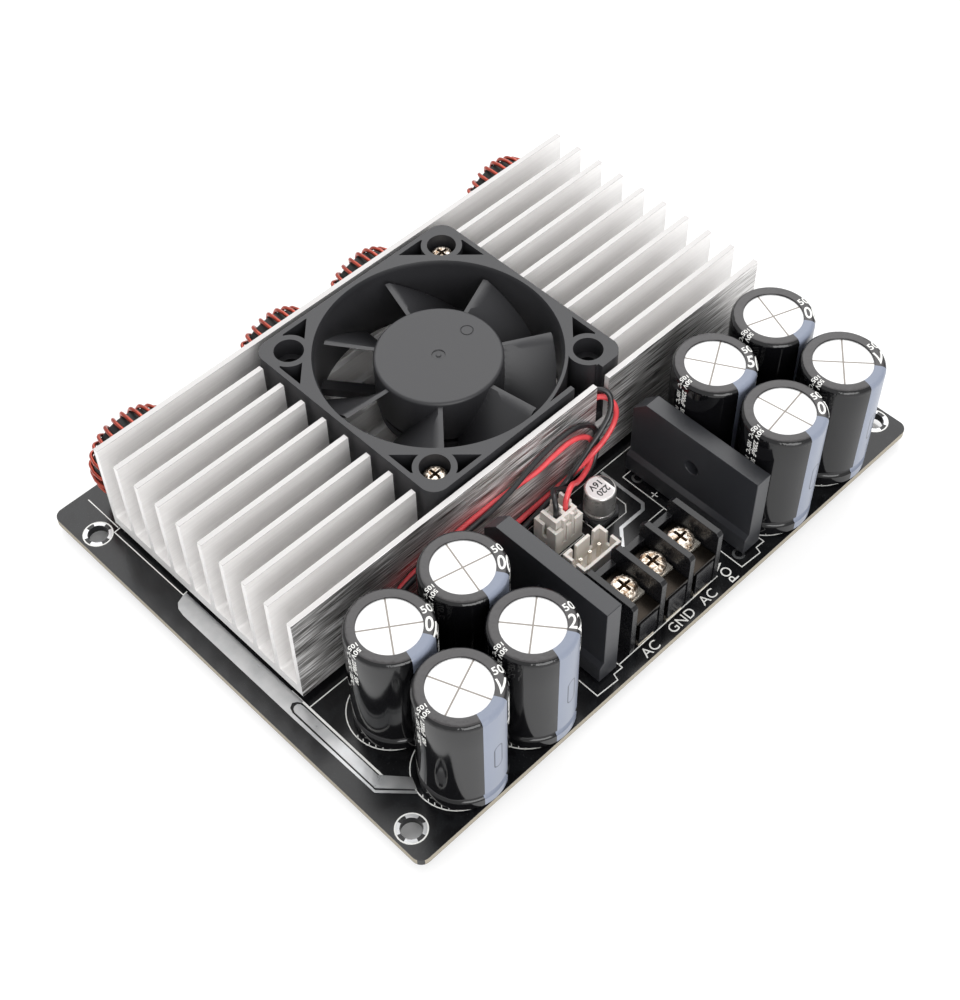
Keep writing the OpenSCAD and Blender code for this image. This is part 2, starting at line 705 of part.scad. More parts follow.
// Cup-shaped hub with swept blades
module fan_rotor() {
    blade_h = blade_high - blade_low;
    root = hub_d / 2 - hub_wall / 2;
    color("#303133")
        translate([fan_x, fan_y, fan_z]) {
            difference() {
                union() {
                    rotate_extrude($fn = 72) {
                        translate([0, hub_low])
                            square([hub_d / 2, hub_top - hub_low - hub_round]);
                        translate([0, hub_top - hub_round - eps])
                            square([hub_d / 2 - hub_round, hub_round + eps]);
                        translate([hub_d / 2 - hub_round, hub_top - hub_round])
                            circle(hub_round, $fn = 16);
                    }
                    for (k = [0 : blade_count - 1])
                        rotate(rotor_turn - blade_sweep + k * 360 / blade_count)
                            translate([0, 0, blade_low])
                                linear_extrude(blade_h, twist = -blade_sweep, slices = 10, segments = 12)
                                    translate([root, -blade_t / 2])
                                        square([blade_d / 2 - root, blade_t]);
                }
                difference() {
                    translate([0, 0, hub_low - blade_h])
                        cylinder(h = inner_top - hub_low + blade_h, d = hub_d - 2 * hub_wall);
                    translate([0, 0, tube_top + run_gap])
                        cylinder(h = fan_t, d = tube_d);
                }
                translate([0, 0, hub_low])
                    cylinder(h = hub_top - hub_face / 2 - hub_low, d = shaft_d);
                // Gate mark and centre dimple moulded in the face
                translate([8.2, 0.7, hub_top - 0.15])
                    difference() {
                        cylinder(h = 1, d = 2.6);
                        cylinder(h = 1, d = 2.2);
                    }
                translate([0, 0, hub_top - 0.2])
                    difference() {
                        cylinder(h = 1, d = 2.6);
                        cylinder(h = 1, d = 1);
                    }
            }
        }
}

// Steel cup pressed in the hub
module fan_yoke() {
    color("#8d9094")
        translate([fan_x, fan_y, fan_z])
            difference() {
                translate([0, 0, hub_low])
                    cylinder(h = inner_top - hub_low, d = yoke_d);
                translate([0, 0, hub_low - eps])
                    cylinder(h = inner_top - hub_low - yoke_wall + eps, d = yoke_d - 2 * yoke_wall);
                translate([0, 0, hub_low])
                    cylinder(h = fan_t, d = tube_d + 2 * glue);
            }
}

module fan_magnet() {
    color("#3a3a3c")
        translate([fan_x, fan_y, fan_z + hub_low])
            difference() {
                cylinder(h = inner_top - hub_low - yoke_wall, d = magnet_d);
                translate([0, 0, -eps])
                    cylinder(h = fan_t, d = magnet_d - 2 * magnet_wall);
            }
}

module fan_shaft() {
    color("#d5d7da")
        translate([fan_x, fan_y, fan_z + strut_t])
            cylinder(h = hub_top - hub_face / 2 - strut_t, d = shaft_d);
}

module fan_bearing() {
    color("#a98f5c")
        translate([fan_x, fan_y, fan_z + strut_t])
            difference() {
                cylinder(h = tube_top - strut_t, d = bearing_d);
                translate([0, 0, -eps])
                    cylinder(h = fan_t, d = shaft_d + 2 * shaft_clear);
            }
}

// Four-arm stator core with pole shoes
module stator_section() {
    difference() {
        union() {
            circle(d = tube_d + 2.4);
            for (a = [0, 90])
                rotate(a)
                    square([stator_d - 1, arm_w], center = true);
            intersection() {
                difference() {
                    circle(d = stator_d);
                    circle(d = stator_d - 2.4);
                }
                for (a = [0, 90])
                    rotate(a)
                        square([stator_d, stator_d / 2], center = true);
            }
        }
        circle(d = tube_d + shaft_clear);
    }
}

module fan_stator() {
    color("#6f7276")
        translate([fan_x, fan_y, fan_z + stator_low])
            linear_extrude(core_h)
                stator_section();
}

// Copper coil round each stator arm
module fan_coils() {
    inner = tube_d / 2 + 1.4;
    outer = sqrt(pow(stator_d / 2 - 1.3, 2) - pow(arm_w / 2 + coil_side, 2));
    color("#b5603a")
        translate([fan_x, fan_y, fan_z + stator_mid])
            for (a = [0 : 90 : 270])
                rotate(a)
                    difference() {
                        translate([inner, -arm_w / 2 - coil_side, -core_h / 2 - coil_side])
                            cube([outer - inner, arm_w + 2 * coil_side, core_h + 2 * coil_side]);
                        translate([inner - eps, -arm_w / 2 - shaft_clear, -core_h / 2 - shaft_clear])
                            cube([outer, arm_w + 2 * shaft_clear, core_h + 2 * shaft_clear]);
                    }
}

module fan_driver_board() {
    color("#2f5d3a")
        translate([fan_x, fan_y, fan_z + strut_t])
            difference() {
                cylinder(h = driver_t, d = hub_d - 3);
                translate([0, 0, -eps])
                    cylinder(h = fan_t, d = shoulder_d + 2 * glue);
            }
}

// Two screws on one diagonal, biting into the fins below
module fan_screws() {
    color("#d8d2c6")
        for (s = [-1, 1])
            translate([fan_x + s * fan_hole / 2, fan_y + s * fan_hole / 2, fan_z + fan_t - recess_depth])
                pan_screw(fan_screw_head_d, fan_screw_head_h, fan_screw_d, fan_screw_l);
}

module fan_wire_red() {
    color("#d5262c")
        translate([0, 0, deck])
            swept(red_route, lead_d, 8, [1, 0, 0]);
}

module fan_wire_black() {
    color("#222224")
        translate([0, 0, deck])
            swept(black_route, lead_d, 8, [1, 0, 0]);
}

// Open shell of a small header with n pins, pin row on the X axis.
// row_side is +1 where the pin row lies nearer the rear wall
module small_header(n, row_side) {
    l = header_l(n);
    y0 = row_side > 0 ? header_row - header_d : -header_row;
    slot = 1;
    difference() {
        translate([-l / 2, y0, 0])
            cube([l, header_d, header_h]);
        translate([-l / 2 + header_wall, y0 + header_wall, header_floor])
            cube([l - 2 * header_wall, header_d - 2 * header_wall, header_h]);
        for (i = [0 : n - 1])
            translate([pin_at(n, i) - pin_w / 2, -pin_w / 2, -eps])
                cube([pin_w, pin_w, header_h]);
        // Slots for the plug's ribs in the wall nearer the pins, and one in each end
        for (s = [-1, 1])
            translate([s * (l / 2 - 2.6) - slot / 2, row_side > 0 ? y0 + header_d - header_wall - eps : y0 - eps,
                    header_h - 4.6])
                cube([slot, header_wall + 2 * eps, header_h]);
        for (s = [-1, 1])
            translate([s * l / 2 - header_wall - eps, y0 + header_d / 2 - slot / 2, header_h - 3.4])
                cube([2 * header_wall + 2 * eps, slot, header_h]);
    }
}

module fan_header() {
    color("#e4ddcf")
        translate([fan_header_x, fan_header_y, deck])
            small_header(2, -1);
}

module audio_header() {
    color("#e9e4da")
        translate([audio_x, audio_y, deck])
            small_header(3, 1);
}

// Crimp plug in the fan header: body in the shell, ribs in the slots, wire cells from above
module fan_plug() {
    l = header_l(2) - 2 * header_wall - 2 * plug_clear;
    d = header_d - 2 * header_wall - 2 * plug_clear;
    y0 = -header_row + header_wall + plug_clear;
    low = header_floor + plug_clear;
    wall_top = plug_top + 1.2;
    color("#ece7dc")
        translate([fan_header_x, fan_header_y, deck])
            difference() {
                union() {
                    translate([-l / 2, y0, low])
                        cube([l, d, plug_top - low]);
                    for (s = [-1, 1])
                        translate([s * (header_l(2) / 2 - 2.6) - 0.35, y0 - header_wall, header_h - 4.4])
                            cube([0.7, header_wall + eps, plug_top - header_h + 4.4]);
                    for (x = [-0.3, l / 2 - 0.8])
                        translate([x, y0 + d * 0.3, plug_top - eps])
                            cube([0.6, d * 0.7, wall_top - plug_top + eps]);
                }
                for (i = [0 : 1])
                    translate([pin_at(2, i) - plug_cell / 2, -plug_cell / 2, low - eps])
                        cube([plug_cell, plug_cell, wall_top]);
                for (i = [0 : 1])
                    translate([pin_at(2, i) - plug_cell / 2, -plug_cell / 2, header_h])
                        cube([plug_cell, d, wall_top]);
            }
}

// Upright speaker header: base with a tall locking wall behind the pins
module speaker_header(i) {
    l = 2 * speaker_pitch;
    lock = 1.3;
    color("#e6e2d8")
        translate([speaker_places[i], coil_y, deck])
            difference() {
                union() {
                    translate([-l / 2, -speaker_d / 2, 0])
                        cube([l, speaker_d, speaker_base]);
                    translate([-l / 2, -speaker_d / 2, 0])
                        cube([l, lock, speaker_h]);
                    translate([-l / 2, -speaker_d / 2, speaker_h - lock])
                        cube([l, 2 * lock, lock]);
                }
                for (s = [-1, 1])
                    translate([s * speaker_pitch / 2 - speaker_pin / 2, -speaker_pin / 2, -eps])
                        cube([speaker_pin, speaker_pin, speaker_h]);
                translate([-speaker_pitch / 4, -speaker_d / 2 - eps, speaker_base])
                    cube([speaker_pitch / 2, 2 * lock + 2 * eps, speaker_h]);
            }
}

// Square pin through the board, its top chamfered
module pin(w, top) {
    tip = w / 3;
    tail = board_t + lead_tail;
    translate([-w / 2, -w / 2, -tail])
        cube([w, w, tail + top - tip]);
    translate([-w / 4, -w / 4, 0])
        cube([w / 2, w / 2, top]);
}

module header_pins() {
    color("#d9d2bd")
        translate([0, 0, deck]) {
            for (i = [0 : 2])
                translate([audio_x + pin_at(3, i), audio_y])
                    pin(pin_w, pin_top);
            for (i = [0 : 1])
                translate([fan_header_x + pin_at(2, i), fan_header_y])
                    pin(pin_w, pin_top);
            for (x = speaker_places, s = [-1, 1])
                translate([x + s * speaker_pitch / 2, coil_y])
                    pin(speaker_pin, speaker_pin_top);
        }
}

// Sleeved capacitor: rolled shoulder, crimp groove, bare scored disc on top and two leads
module capacitor(i) {
    shoulder = 1;
    score = 0.35;
    groove_r = 0.9;
    groove_z = 3.4;
    color("#232326")
        translate([cap_places[i].x, cap_places[i].y, deck]) {
            difference() {
                rotate_extrude($fn = 72)
                    difference() {
                        union() {
                            translate([0, cap_gap])
                                square([cap_d / 2, cap_h - cap_gap - shoulder]);
                            square([cap_d / 2 - shoulder, cap_h]);
                            translate([cap_d / 2 - shoulder, cap_h - shoulder])
                                circle(shoulder);
                        }
                        translate([cap_d / 2 + groove_r - cap_groove, groove_z])
                            circle(groove_r);
                        translate([0, cap_h - cap_top_drop])
                            square([cap_top_d / 2, 1]);
                        translate([0, -shoulder])
                            square([cap_d / 2, cap_gap + shoulder]);
                    }
                for (a = [0, 90])
                    rotate(a + 8)
                        translate([-cap_top_d / 2, -score / 2, cap_h - cap_top_drop - score / 2])
                            cube([cap_top_d, score, 1]);
            }
            for (s = [-1, 1])
                translate([s * cap_lead_pitch / 2, 0, -board_t - lead_tail])
                    cylinder(h = board_t + lead_tail + cap_gap + eps, d = cap_lead_d);
        }
}

// Flat rectifier on edge: outline along Y cut from a section with a thicker lower bar
module rectifier(i) {
    ledge = rect_bar_t - rect_t;
    color("#2a2b2d")
        translate([rect_places[i], rect_front_y, deck + rect_gap])
            difference() {
                intersection() {
                    translate([0, rect_l, 0])
                        rotate([90, 0, 0])
                            linear_extrude(rect_l)
                                polygon([[0, 0], [0, rect_h], [-rect_t, rect_h],
                                    [-rect_t, rect_bar_h + ledge], [-rect_bar_t, rect_bar_h], [-rect_bar_t, 0]]);
                    rotate([90, 0, 90])
                        translate([0, 0, -2 * rect_bar_t])
                            linear_extrude(3 * rect_bar_t)
                                polygon([[0, 0], [rect_l, 0], [rect_l, rect_h - rect_chamfer],
                                    [rect_l - rect_chamfer, rect_h], [0, rect_h]]);
                }
                translate([eps, rect_l / 2, rect_h * 0.6])
                    rotate([0, -90, 0])
                        cylinder(h = rect_bar_t + 2 * eps, d = rect_hole_d);
            }
}

module rectifier_leads() {
    color("#c9cbd0")
        for (x = rect_places, y = rect_lead_y)
            translate([x - rect_bar_t / 2 - rect_lead / 2, y - rect_lead / 2, -lead_tail])
                cube([rect_lead, rect_lead, lead_tail + board_t + rect_gap]);
}

// Can of the surface-mount capacitor with a rolled bead above its base
module smd_capacitor() {
    bead = 0.5;
    edge = 0.4;
    color("#b9bbbf")
        translate([smd_x, smd_y, deck + smd_base])
            rotate_extrude()
                difference() {
                    union() {
                        square([smd_d / 2, smd_h - smd_base - edge]);
                        square([smd_d / 2 - edge, smd_h - smd_base]);
                        translate([smd_d / 2 - edge, smd_h - smd_base - edge])
                            circle(edge);
                    }
                    translate([smd_d / 2 + bead / 2, 1.3])
                        circle(bead);
                }
}

// Square base with two cut corners and the solder feet at its ends
module smd_capacitor_base() {
    side = smd_d + 0.3;
    cut = 1.3;
    color("#202123")
        translate([smd_x, smd_y, deck]) {
            linear_extrude(smd_base)
                polygon([[-side / 2, -side / 2], [side / 2 - cut, -side / 2], [side / 2, cut - side / 2],
                    [side / 2, side / 2 - cut], [side / 2 - cut, side / 2], [-side / 2, side / 2]]);
            translate([-side / 2 - 0.5, -0.35, 0])
                cube([side + 1, 0.7, 0.3]);
        }
}

module chip_resistors() {
    color("#3a3632")
        for (p = resistor_places)
            translate([p.x - resistor_w / 2, p.y - resistor_l / 2, deck])
                cube([resistor_w, resistor_l, resistor_h]);
}

// Barrier block: floor, walls between the terminals and a recessed front under each terminal
module terminal_block() {
    back = 1.4;
    window = 1.3;
    cell = term_pitch - term_wall;
    color("#1d1e20")
        translate([0, 0, deck])
            difference() {
                union() {
                    translate([term_x - term_l / 2, term_front_y + contact_t, 0])
                        cube([term_l, term_d - contact_t, term_floor]);
                    for (i = [0 : term_count])
                        translate([term_at(i) - term_pitch / 2 - term_wall / 2, term_front_y, 0])
                            rotate([90, 0, 90])
                                linear_extrude(term_wall)
                                    polygon([[0, 0], [term_d, 0], [term_d, term_h - 1], [term_d - 1, term_h],
                                        [0.6, term_h], [0, term_h - 0.6]]);
                    translate([term_x - term_l / 2, term_front_y + term_d - back, 0])
                        cube([term_l, back, term_floor + 2.4]);
                }
                for (i = [0 : term_count - 1]) {
                    translate([term_at(i), term_axis_y, -eps])
                        cylinder(h = term_h, d = term_hole_d);
                    // Slanted recess between the ribs of the front face
                    translate([term_at(i) - cell / 2 + 0.7, term_front_y - eps, window])
                        cube([cell - 1.4, contact_t + 1, term_floor - window - 1]);
                    translate([term_at(i) - contact_foot_w / 2 - plug_clear, term_front_y - eps, -eps])
                        cube([contact_foot_w + 2 * plug_clear, contact_t + plug_clear + eps,
                            term_floor + 2 * eps]);
                }
            }
}

// Stamped contacts: plate under the screw, bent down at the front to a foot and a pin
module terminal_contacts() {
    plate_d = term_d - 1.4 - 2 * plug_clear;
    cell = term_pitch - term_wall;
    color("#cfc8b8")
        for (i = [0 : term_count - 1])
            translate([term_at(i), term_front_y, deck]) {
                difference() {
                    translate([-cell / 2 + plug_clear, 0, term_floor])
                        cube([cell - 2 * plug_clear, plate_d, contact_t]);
                    translate([0, term_d / 2, term_floor - eps])
                        cylinder(h = contact_t + 2 * eps, d = term_hole_d);
                }
                translate([-contact_foot_w / 2, 0, 0])
                    cube([contact_foot_w, contact_t, term_floor + eps]);
                translate([-contact_pin_w / 2, 0, -board_t - lead_tail])
                    cube([contact_pin_w, contact_t, board_t + lead_tail + eps]);
            }
}

// Square washer with turned-down teeth, lifted by its screw
module terminal_clamp(i) {
    color("#d8c9a6")
        translate([term_at(i), term_axis_y, contact_top])
            difference() {
                translate([-clamp_w / 2, -clamp_w / 2, 0])
                    cube([clamp_w, clamp_w, clamp_t]);
                translate([0, 0, -eps])
                    cylinder(h = clamp_t + 2 * eps, d = term_hole_d);
                for (s = [-1, 0, 1])
                    translate([-clamp_w / 2 - eps, s * clamp_w / 4 - 0.2, -eps])
                        cube([clamp_w + 2 * eps, 0.4, 0.25]);
            }
}

module terminal_screw(i) {
    color("#d9cfb6")
        translate([term_at(i), term_axis_y, clamp_top])
            pan_screw(term_head_d, term_head_h, term_screw_d, term_screw_l);
}

// Ring core standing on its rim, axis along Y
module inductor_core(i) {
    color("#2d312e")
        translate([coil_places[i], coil_y, coil_z])
            rotate([90, 0, 0])
                rotate_extrude($fn = 64)
                    translate([(core_d + core_bore) / 4, 0])
                        rounded_rect((core_d - core_bore) / 2, ring_h, ring_r);
}

// One continuous wire wound round the ring, both ends led down through the board
module inductor_winding(i) {
    c = wire_corner;
    loop = [[wire_out, -wire_side + c], [wire_out, wire_side - c], [wire_out - c, wire_side],
        [wire_in + c, wire_side], [wire_in, wire_side - c], [wire_in, -wire_side + c],
        [wire_in + c, -wire_side], [wire_out - c, -wire_side]];
    n = len(loop);
    start = 270 - (360 - winding_arc) / 2;
    wound = [for (k = [0 : turns * n])
        let (a = start - winding_arc * k / (turns * n), p = loop[k % n])
        [p.x * cos(a), p.y, p.x * sin(a)]];
    first = wound[0];
    last = wound[turns * n];
    tail = -coil_z - lead_tail;
    path = concat(
        [[-coil_foot, 0, tail], [-coil_foot, 0, -coil_z + deck], [(first.x - coil_foot) / 2, -0.6, first.z - 0.3]],
        wound,
        [[(last.x + coil_foot) / 2, -0.6, last.z - 0.3], [coil_foot, 0, -coil_z + deck], [coil_foot, 0, tail]]
    );
    color("#b4552f")
        translate([coil_places[i], coil_y, coil_z])
            swept(path, wire_d, 6, [1, 0, 0]);
}

circuit_board();
solder_joints();
heat_sink();
sink_screws();
thermal_pads();
amplifier_chip(0);  // amplifier_chip_1
amplifier_chip(1);  // amplifier_chip_2
fan_frame();
fan_rotor();
fan_yoke();
fan_magnet();
fan_shaft();
fan_bearing();
fan_stator();
fan_coils();
fan_driver_board();
fan_screws();
fan_wire_red();
fan_wire_black();
fan_plug();
fan_header();
audio_header();
header_pins();
for (i = [0 : 1]) {
    speaker_header(i);
    rectifier(i);
}
for (i = [0 : 7])
    capacitor(i);
rectifier_leads();
smd_capacitor();
smd_capacitor_base();
chip_resistors();
terminal_block();
terminal_contacts();
for (i = [0 : term_count - 1]) {
    terminal_clamp(i);
    terminal_screw(i);
}
for (i = [0 : 3]) {
    inductor_core(i);
    inductor_winding(i);
}
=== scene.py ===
import json
import math

import bmesh
import bpy
from mathutils import Matrix, Vector


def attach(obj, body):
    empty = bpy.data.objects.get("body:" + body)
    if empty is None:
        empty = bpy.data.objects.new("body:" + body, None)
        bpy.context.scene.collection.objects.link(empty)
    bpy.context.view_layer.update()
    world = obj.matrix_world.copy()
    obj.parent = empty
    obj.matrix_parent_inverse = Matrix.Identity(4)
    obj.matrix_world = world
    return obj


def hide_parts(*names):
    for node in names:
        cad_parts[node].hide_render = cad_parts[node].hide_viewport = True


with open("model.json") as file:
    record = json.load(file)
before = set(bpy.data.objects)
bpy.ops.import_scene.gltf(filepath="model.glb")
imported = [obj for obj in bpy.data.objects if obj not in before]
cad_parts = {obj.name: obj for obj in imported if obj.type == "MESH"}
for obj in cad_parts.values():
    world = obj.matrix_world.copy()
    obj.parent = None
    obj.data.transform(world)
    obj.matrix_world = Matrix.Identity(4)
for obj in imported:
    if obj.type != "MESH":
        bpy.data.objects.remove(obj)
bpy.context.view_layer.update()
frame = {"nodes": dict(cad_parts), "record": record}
nodes = frame["nodes"]

# The view: a close product shot from over the board's front left corner. The place and the
# lens are those that the lines of the photograph give.
mm = 0.001
right = Vector((0.7125, -0.7015, -0.0164)).normalized()
ahead = Vector((0.423, 0.448, -0.788))
ahead = (ahead - right * ahead.dot(right)).normalized()
camera = bpy.data.objects.new("camera", bpy.data.cameras.new("camera"))
bpy.context.scene.collection.objects.link(camera)
stand = Matrix((right, right.cross(ahead), -ahead)).transposed().to_4x4()
stand.translation = Vector((-145.9, -150.0, 264.8)) * mm
camera.matrix_world = stand
camera.data.lens = 61.68
camera.data.sensor_width = 36
camera.data.shift_x = 0.0015
camera.data.shift_y = -0.0095
camera.data.clip_start = 0.01
bpy.context.scene.camera = camera


# The fan lead: two thin stranded wires in soft vinyl, red and black, crimped at one end
# into the white plug and soldered at the other to the fan's own small board.
class Tone:
    """One value of a finish, kept as a node socket, so that sums on it read as Python."""

    def __init__(self, tree, socket):
        self.tree = tree
        self.socket = socket

    def node(self, kind, settings, inputs, out=0):
        made = self.tree.nodes.new(kind)
        for key, value in settings.items():
            setattr(made, key, value)
        for key, value in inputs.items():
            if isinstance(value, Tone):
                self.tree.links.new(value.socket, made.inputs[key])
            else:
                made.inputs[key].default_value = value
        return Tone(self.tree, made.outputs[out])

    def sum(self, operation, first, second=0.0):
        return self.node("ShaderNodeMath", {"operation": operation}, {0: first, 1: second})

    def __add__(self, other):
        return self.sum("ADD", self, other)

    def __radd__(self, other):
        return self.sum("ADD", other, self)

    def __sub__(self, other):
        return self.sum("SUBTRACT", self, other)

    def __rsub__(self, other):
        return self.sum("SUBTRACT", other, self)

    def __mul__(self, other):
        return self.sum("MULTIPLY", self, other)

    def __rmul__(self, other):
        return self.sum("MULTIPLY", other, self)

    def __gt__(self, limit):
        return self.sum("GREATER_THAN", self, limit)

    def __lt__(self, limit):
        return self.sum("LESS_THAN", self, limit)

    def __abs__(self):
        return self.sum("ABSOLUTE", self)

    def feeds(self, shader, socket):
        self.tree.links.new(self.socket, shader.inputs[socket])


def dye(code):
    """A colour as the eye names it, such as #c8cacc, as the light that it sends back."""
    parts = [int(code[i : i + 2], 16) / 255 for i in (1, 3, 5)]
    return [p / 12.92 if p < 0.0405 else ((p + 0.055) / 1.055) ** 2.4 for p in parts] + [1]


def finish(name, colour, **constants):
    """A new finish: its material, its shader and the place on the piece in metres."""
    material = bpy.data.materials.new(name)
    material.use_nodes = True
    tree = material.node_tree
    shader = tree.nodes["Principled BSDF"]
    shader.inputs["Base Color"].default_value = dye(colour)
    for key, value in constants.items():
        shader.inputs[key.replace("_", " ").title().replace("Ior", "IOR")].default_value = value
    place = Tone(tree, tree.nodes.new("ShaderNodeTexCoord").outputs["Object"])
    return material, shader, place


def grain(place, stretch, detail=3.0):
    """Noise over a piece, with this many cells a metre along X, Y and Z."""
    cells = place.node("ShaderNodeVectorMath", {"operation": "MULTIPLY"}, {0: place, 1: stretch})
    return place.node("ShaderNodeTexNoise", {}, {"Vector": cells, "Scale": 1.0, "Detail": detail})


def bump(height, strength, depth, shader):
    made = height.node("ShaderNodeBump", {}, {"Strength": strength, "Distance": depth, "Height": height})
    made.feeds(shader, "Normal")


def tint(factor, low, high):
    """A colour between two, by a value from 0 to 1. Each is a code or a colour made before."""
    low, high = (c if isinstance(c, Tone) else dye(c) for c in (low, high))
    return factor.node("ShaderNodeMix", {"data_type": "RGBA"}, {0: factor, 6: low, 7: high}, 2)


def along(place, k):
    """How far each spot lies along X, Y or Z, which are 0, 1 and 2."""
    return place.node("ShaderNodeSeparateXYZ", {}, {0: place}, k)


def vinyl(name, colour, worn):
    material, shader, place = finish(name, colour, roughness=0.3, coat_weight=0.15, coat_roughness=0.2)
    mottle = grain(place, (900, 900, 900))
    tint(mottle, colour, worn).feeds(shader, "Base Color")
    (0.26 + mottle * 0.14).feeds(shader, "Roughness")
    bump(mottle, 0.15, 0.00004, shader)
    return material


lead_d = 1.1 * mm
board_top = 1.6 * mm
red_route = [
    (12.2, -7.6, 12.4), (12.2, -7.6, 14.4), (12.6, -8.3, 16.2), (13.9, -9.5, 17.7),
    (15.8, -10.6, 18.7), (17.3, -11.9, 19.2), (18.1, -13.5, 18.6), (18.4, -14.4, 16.9),
    (17.9, -14.8, 14.4), (15.8, -15.1, 12.2), (12.6, -15.2, 10.5), (8.6, -14.2, 7.2),
    (5.4, -13.4, 5.2), (2.2, -13.1, 4.3), (-4, -13.1, 3.8), (-10, -13.2, 3.6),
    (-17, -13.3, 3.4), (-24, -13.3, 3.4), (-31, -13.3, 3.8), (-36, -13.3, 5.2),
    (-38.6, -13.3, 8), (-37.8, -13.2, 11), (-34.6, -13, 12.7), (-29, -12.9, 13.8),
    (-22, -12.9, 14.8), (-15, -12.9, 15.1), (-8, -13.1, 15.1), (-2, -13.8, 15.7),
    (2, -13.9, 16.6), (6.6, -13.9, 16.8), (10.4, -13.8, 14.8), (12.6, -13.7, 11.8),
    (12.9, -13.9, 9.2), (11.5, -14.7, 7.4), (8.8, -15.9, 7.4), (5.4, -17.1, 8.6),
    (2.4, -18.35, 11.39), (1.35, -18.81, 11.7), (0.3, -19.28, 11.39),
    (-0.47, -19.62, 10.55), (-0.75, -19.75, 9.4), (-0.75, -19.75, 7)
]
black_route = [
    (14.2, -7.3, 12.4), (14.1, -7.4, 15.2), (14, -8.1, 18), (14.6, -9.3, 20),
    (15.7, -10.5, 21.1), (16.8, -11.8, 21.6), (17.4, -13.1, 21.1), (17.2, -14.1, 19.7),
    (16.1, -14.9, 17.9), (14.2, -15.2, 16), (10.6, -15.2, 12.9), (7.4, -15, 9.8),
    (4.2, -14.8, 7), (0, -14.6, 5), (-5, -14.6, 3.6), (-10, -14.7, 2.9), (-17, -14.8, 2.6),
    (-24, -14.8, 2.6), (-31, -14.8, 2.8), (-36.6, -14.7, 4), (-40, -14.5, 7.4),
    (-39.4, -14.3, 11.2), (-35.6, -14.2, 13.3), (-29, -14.2, 14.2), (-22, -14.2, 14.9),
    (-15, -14.2, 15.5), (-9, -13.9, 16.4), (-4, -13.3, 17.2), (0.4, -12.95, 17.9),
    (6, -12.95, 18.5), (10.6, -12.9, 17.1), (14, -12.9, 13.8), (15, -13, 10.2),
    (14, -13.9, 7), (11.2, -15, 5.3), (7.4, -15.9, 5.4), (4, -16.3, 7.2), (1.1, -16.4, 9.6),
    (-0.4, -16.5, 10.9), (-1.44, -17.16, 11.53), (-2.07, -18.06, 11.69),
    (-2.67, -18.92, 11.31), (-3.1, -19.53, 10.48), (-3.25, -19.75, 9.4), (-3.25, -19.75, 7)
]


def drawn_wire(name, points, diameter, material, resolution=6, sides=4):
    """A round wire drawn through points in the frame, as a curve with a round section."""
    curve = bpy.data.curves.new(name, "CURVE")
    curve.dimensions = "3D"
    curve.bevel_depth = diameter / 2
    curve.bevel_resolution = sides
    curve.resolution_u = resolution
    curve.use_fill_caps = True
    spline = curve.splines.new("BEZIER")
    spline.bezier_points.add(len(points) - 1)
    for knot, point in zip(spline.bezier_points, points):
        knot.co = point
        knot.handle_left_type = knot.handle_right_type = "AUTO"
    curve.materials.append(material)
    piece = bpy.data.objects.new(name, curve)
    bpy.context.scene.collection.objects.link(piece)
    return piece


def route(points):
    return [Vector(p) * mm + Vector((0, 0, board_top)) for p in points]


def fan_wire(node, points, material):
    wire = drawn_wire(node + "_vinyl", route(points), lead_d, material)
    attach(wire, "board")
    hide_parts(node)


carrier = {n: b for b, held in frame["record"]["behaviour"]["bodies"].items() for n in held}


def settle(name, shape, material, node, slot=None, fresh=True):
    """Makes a mesh from a finished shape and hands it to the body that carries it."""
    if fresh:
        bmesh.ops.recalc_face_normals(shape, faces=shape.faces)
    mesh = bpy.data.meshes.new(name)
    shape.to_mesh(mesh)
    shape.free()
    mesh.materials.append(material)
    piece = bpy.data.objects.new(name, mesh)
    bpy.context.scene.collection.objects.link(piece)
    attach(piece, carrier[node])
    return piece


def broken_edges(node, material, radius, limit=32, segments=2, merge=0.6, mark=None):
    """A copy of a solid with its sharp edges broken to a small radius, in the solid's place."""
    shape = bmesh.new()
    shape.from_mesh(nodes[node].data)
    bmesh.ops.remove_doubles(shape, verts=shape.verts, dist=2e-7)
    bmesh.ops.dissolve_limit(shape, angle_limit=math.radians(merge), verts=shape.verts, edges=shape.edges)
    sharp = [e for e in shape.edges if e.is_manifold and e.calc_face_angle() > math.radians(limit)]
    bmesh.ops.bevel(shape, geom=sharp, offset=radius * mm, affect="EDGES", segments=segments, profile=0.5,
                    material=-1, clamp_overlap=True)
    for f in shape.faces:
        f.smooth = True
    for e in shape.edges:
        e.smooth = not e.is_manifold or e.calc_face_angle() < math.radians(50)
    if mark:
        mark(shape)
    piece = settle(node + "_finished", shape, material, node, fresh=False)
    piece.modifiers.new("flat faces", "WEIGHTED_NORMAL").keep_sharp = True
    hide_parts(node)
    return piece


nylon, shader, place = finish("natural nylon", "#dfd8cf", roughness=0.42, subsurface_weight=0.08,
                              subsurface_scale=0.0006)
moult = grain(place, (500, 500, 500))
tint(moult, "#dcd6ce", "#ece7e1").feeds(shader, "Base Color")
(0.38 + moult * 0.16).feeds(shader, "Roughness")
plug = broken_edges("fan_plug", nylon, 0.12)
fan_wire("fan_wire_red", red_route, vinyl("red vinyl", "#f45c62", "#e0444a"))
fan_wire("fan_wire_black", black_route, vinyl("black vinyl", "#2b2b2d", "#1f1f21"))


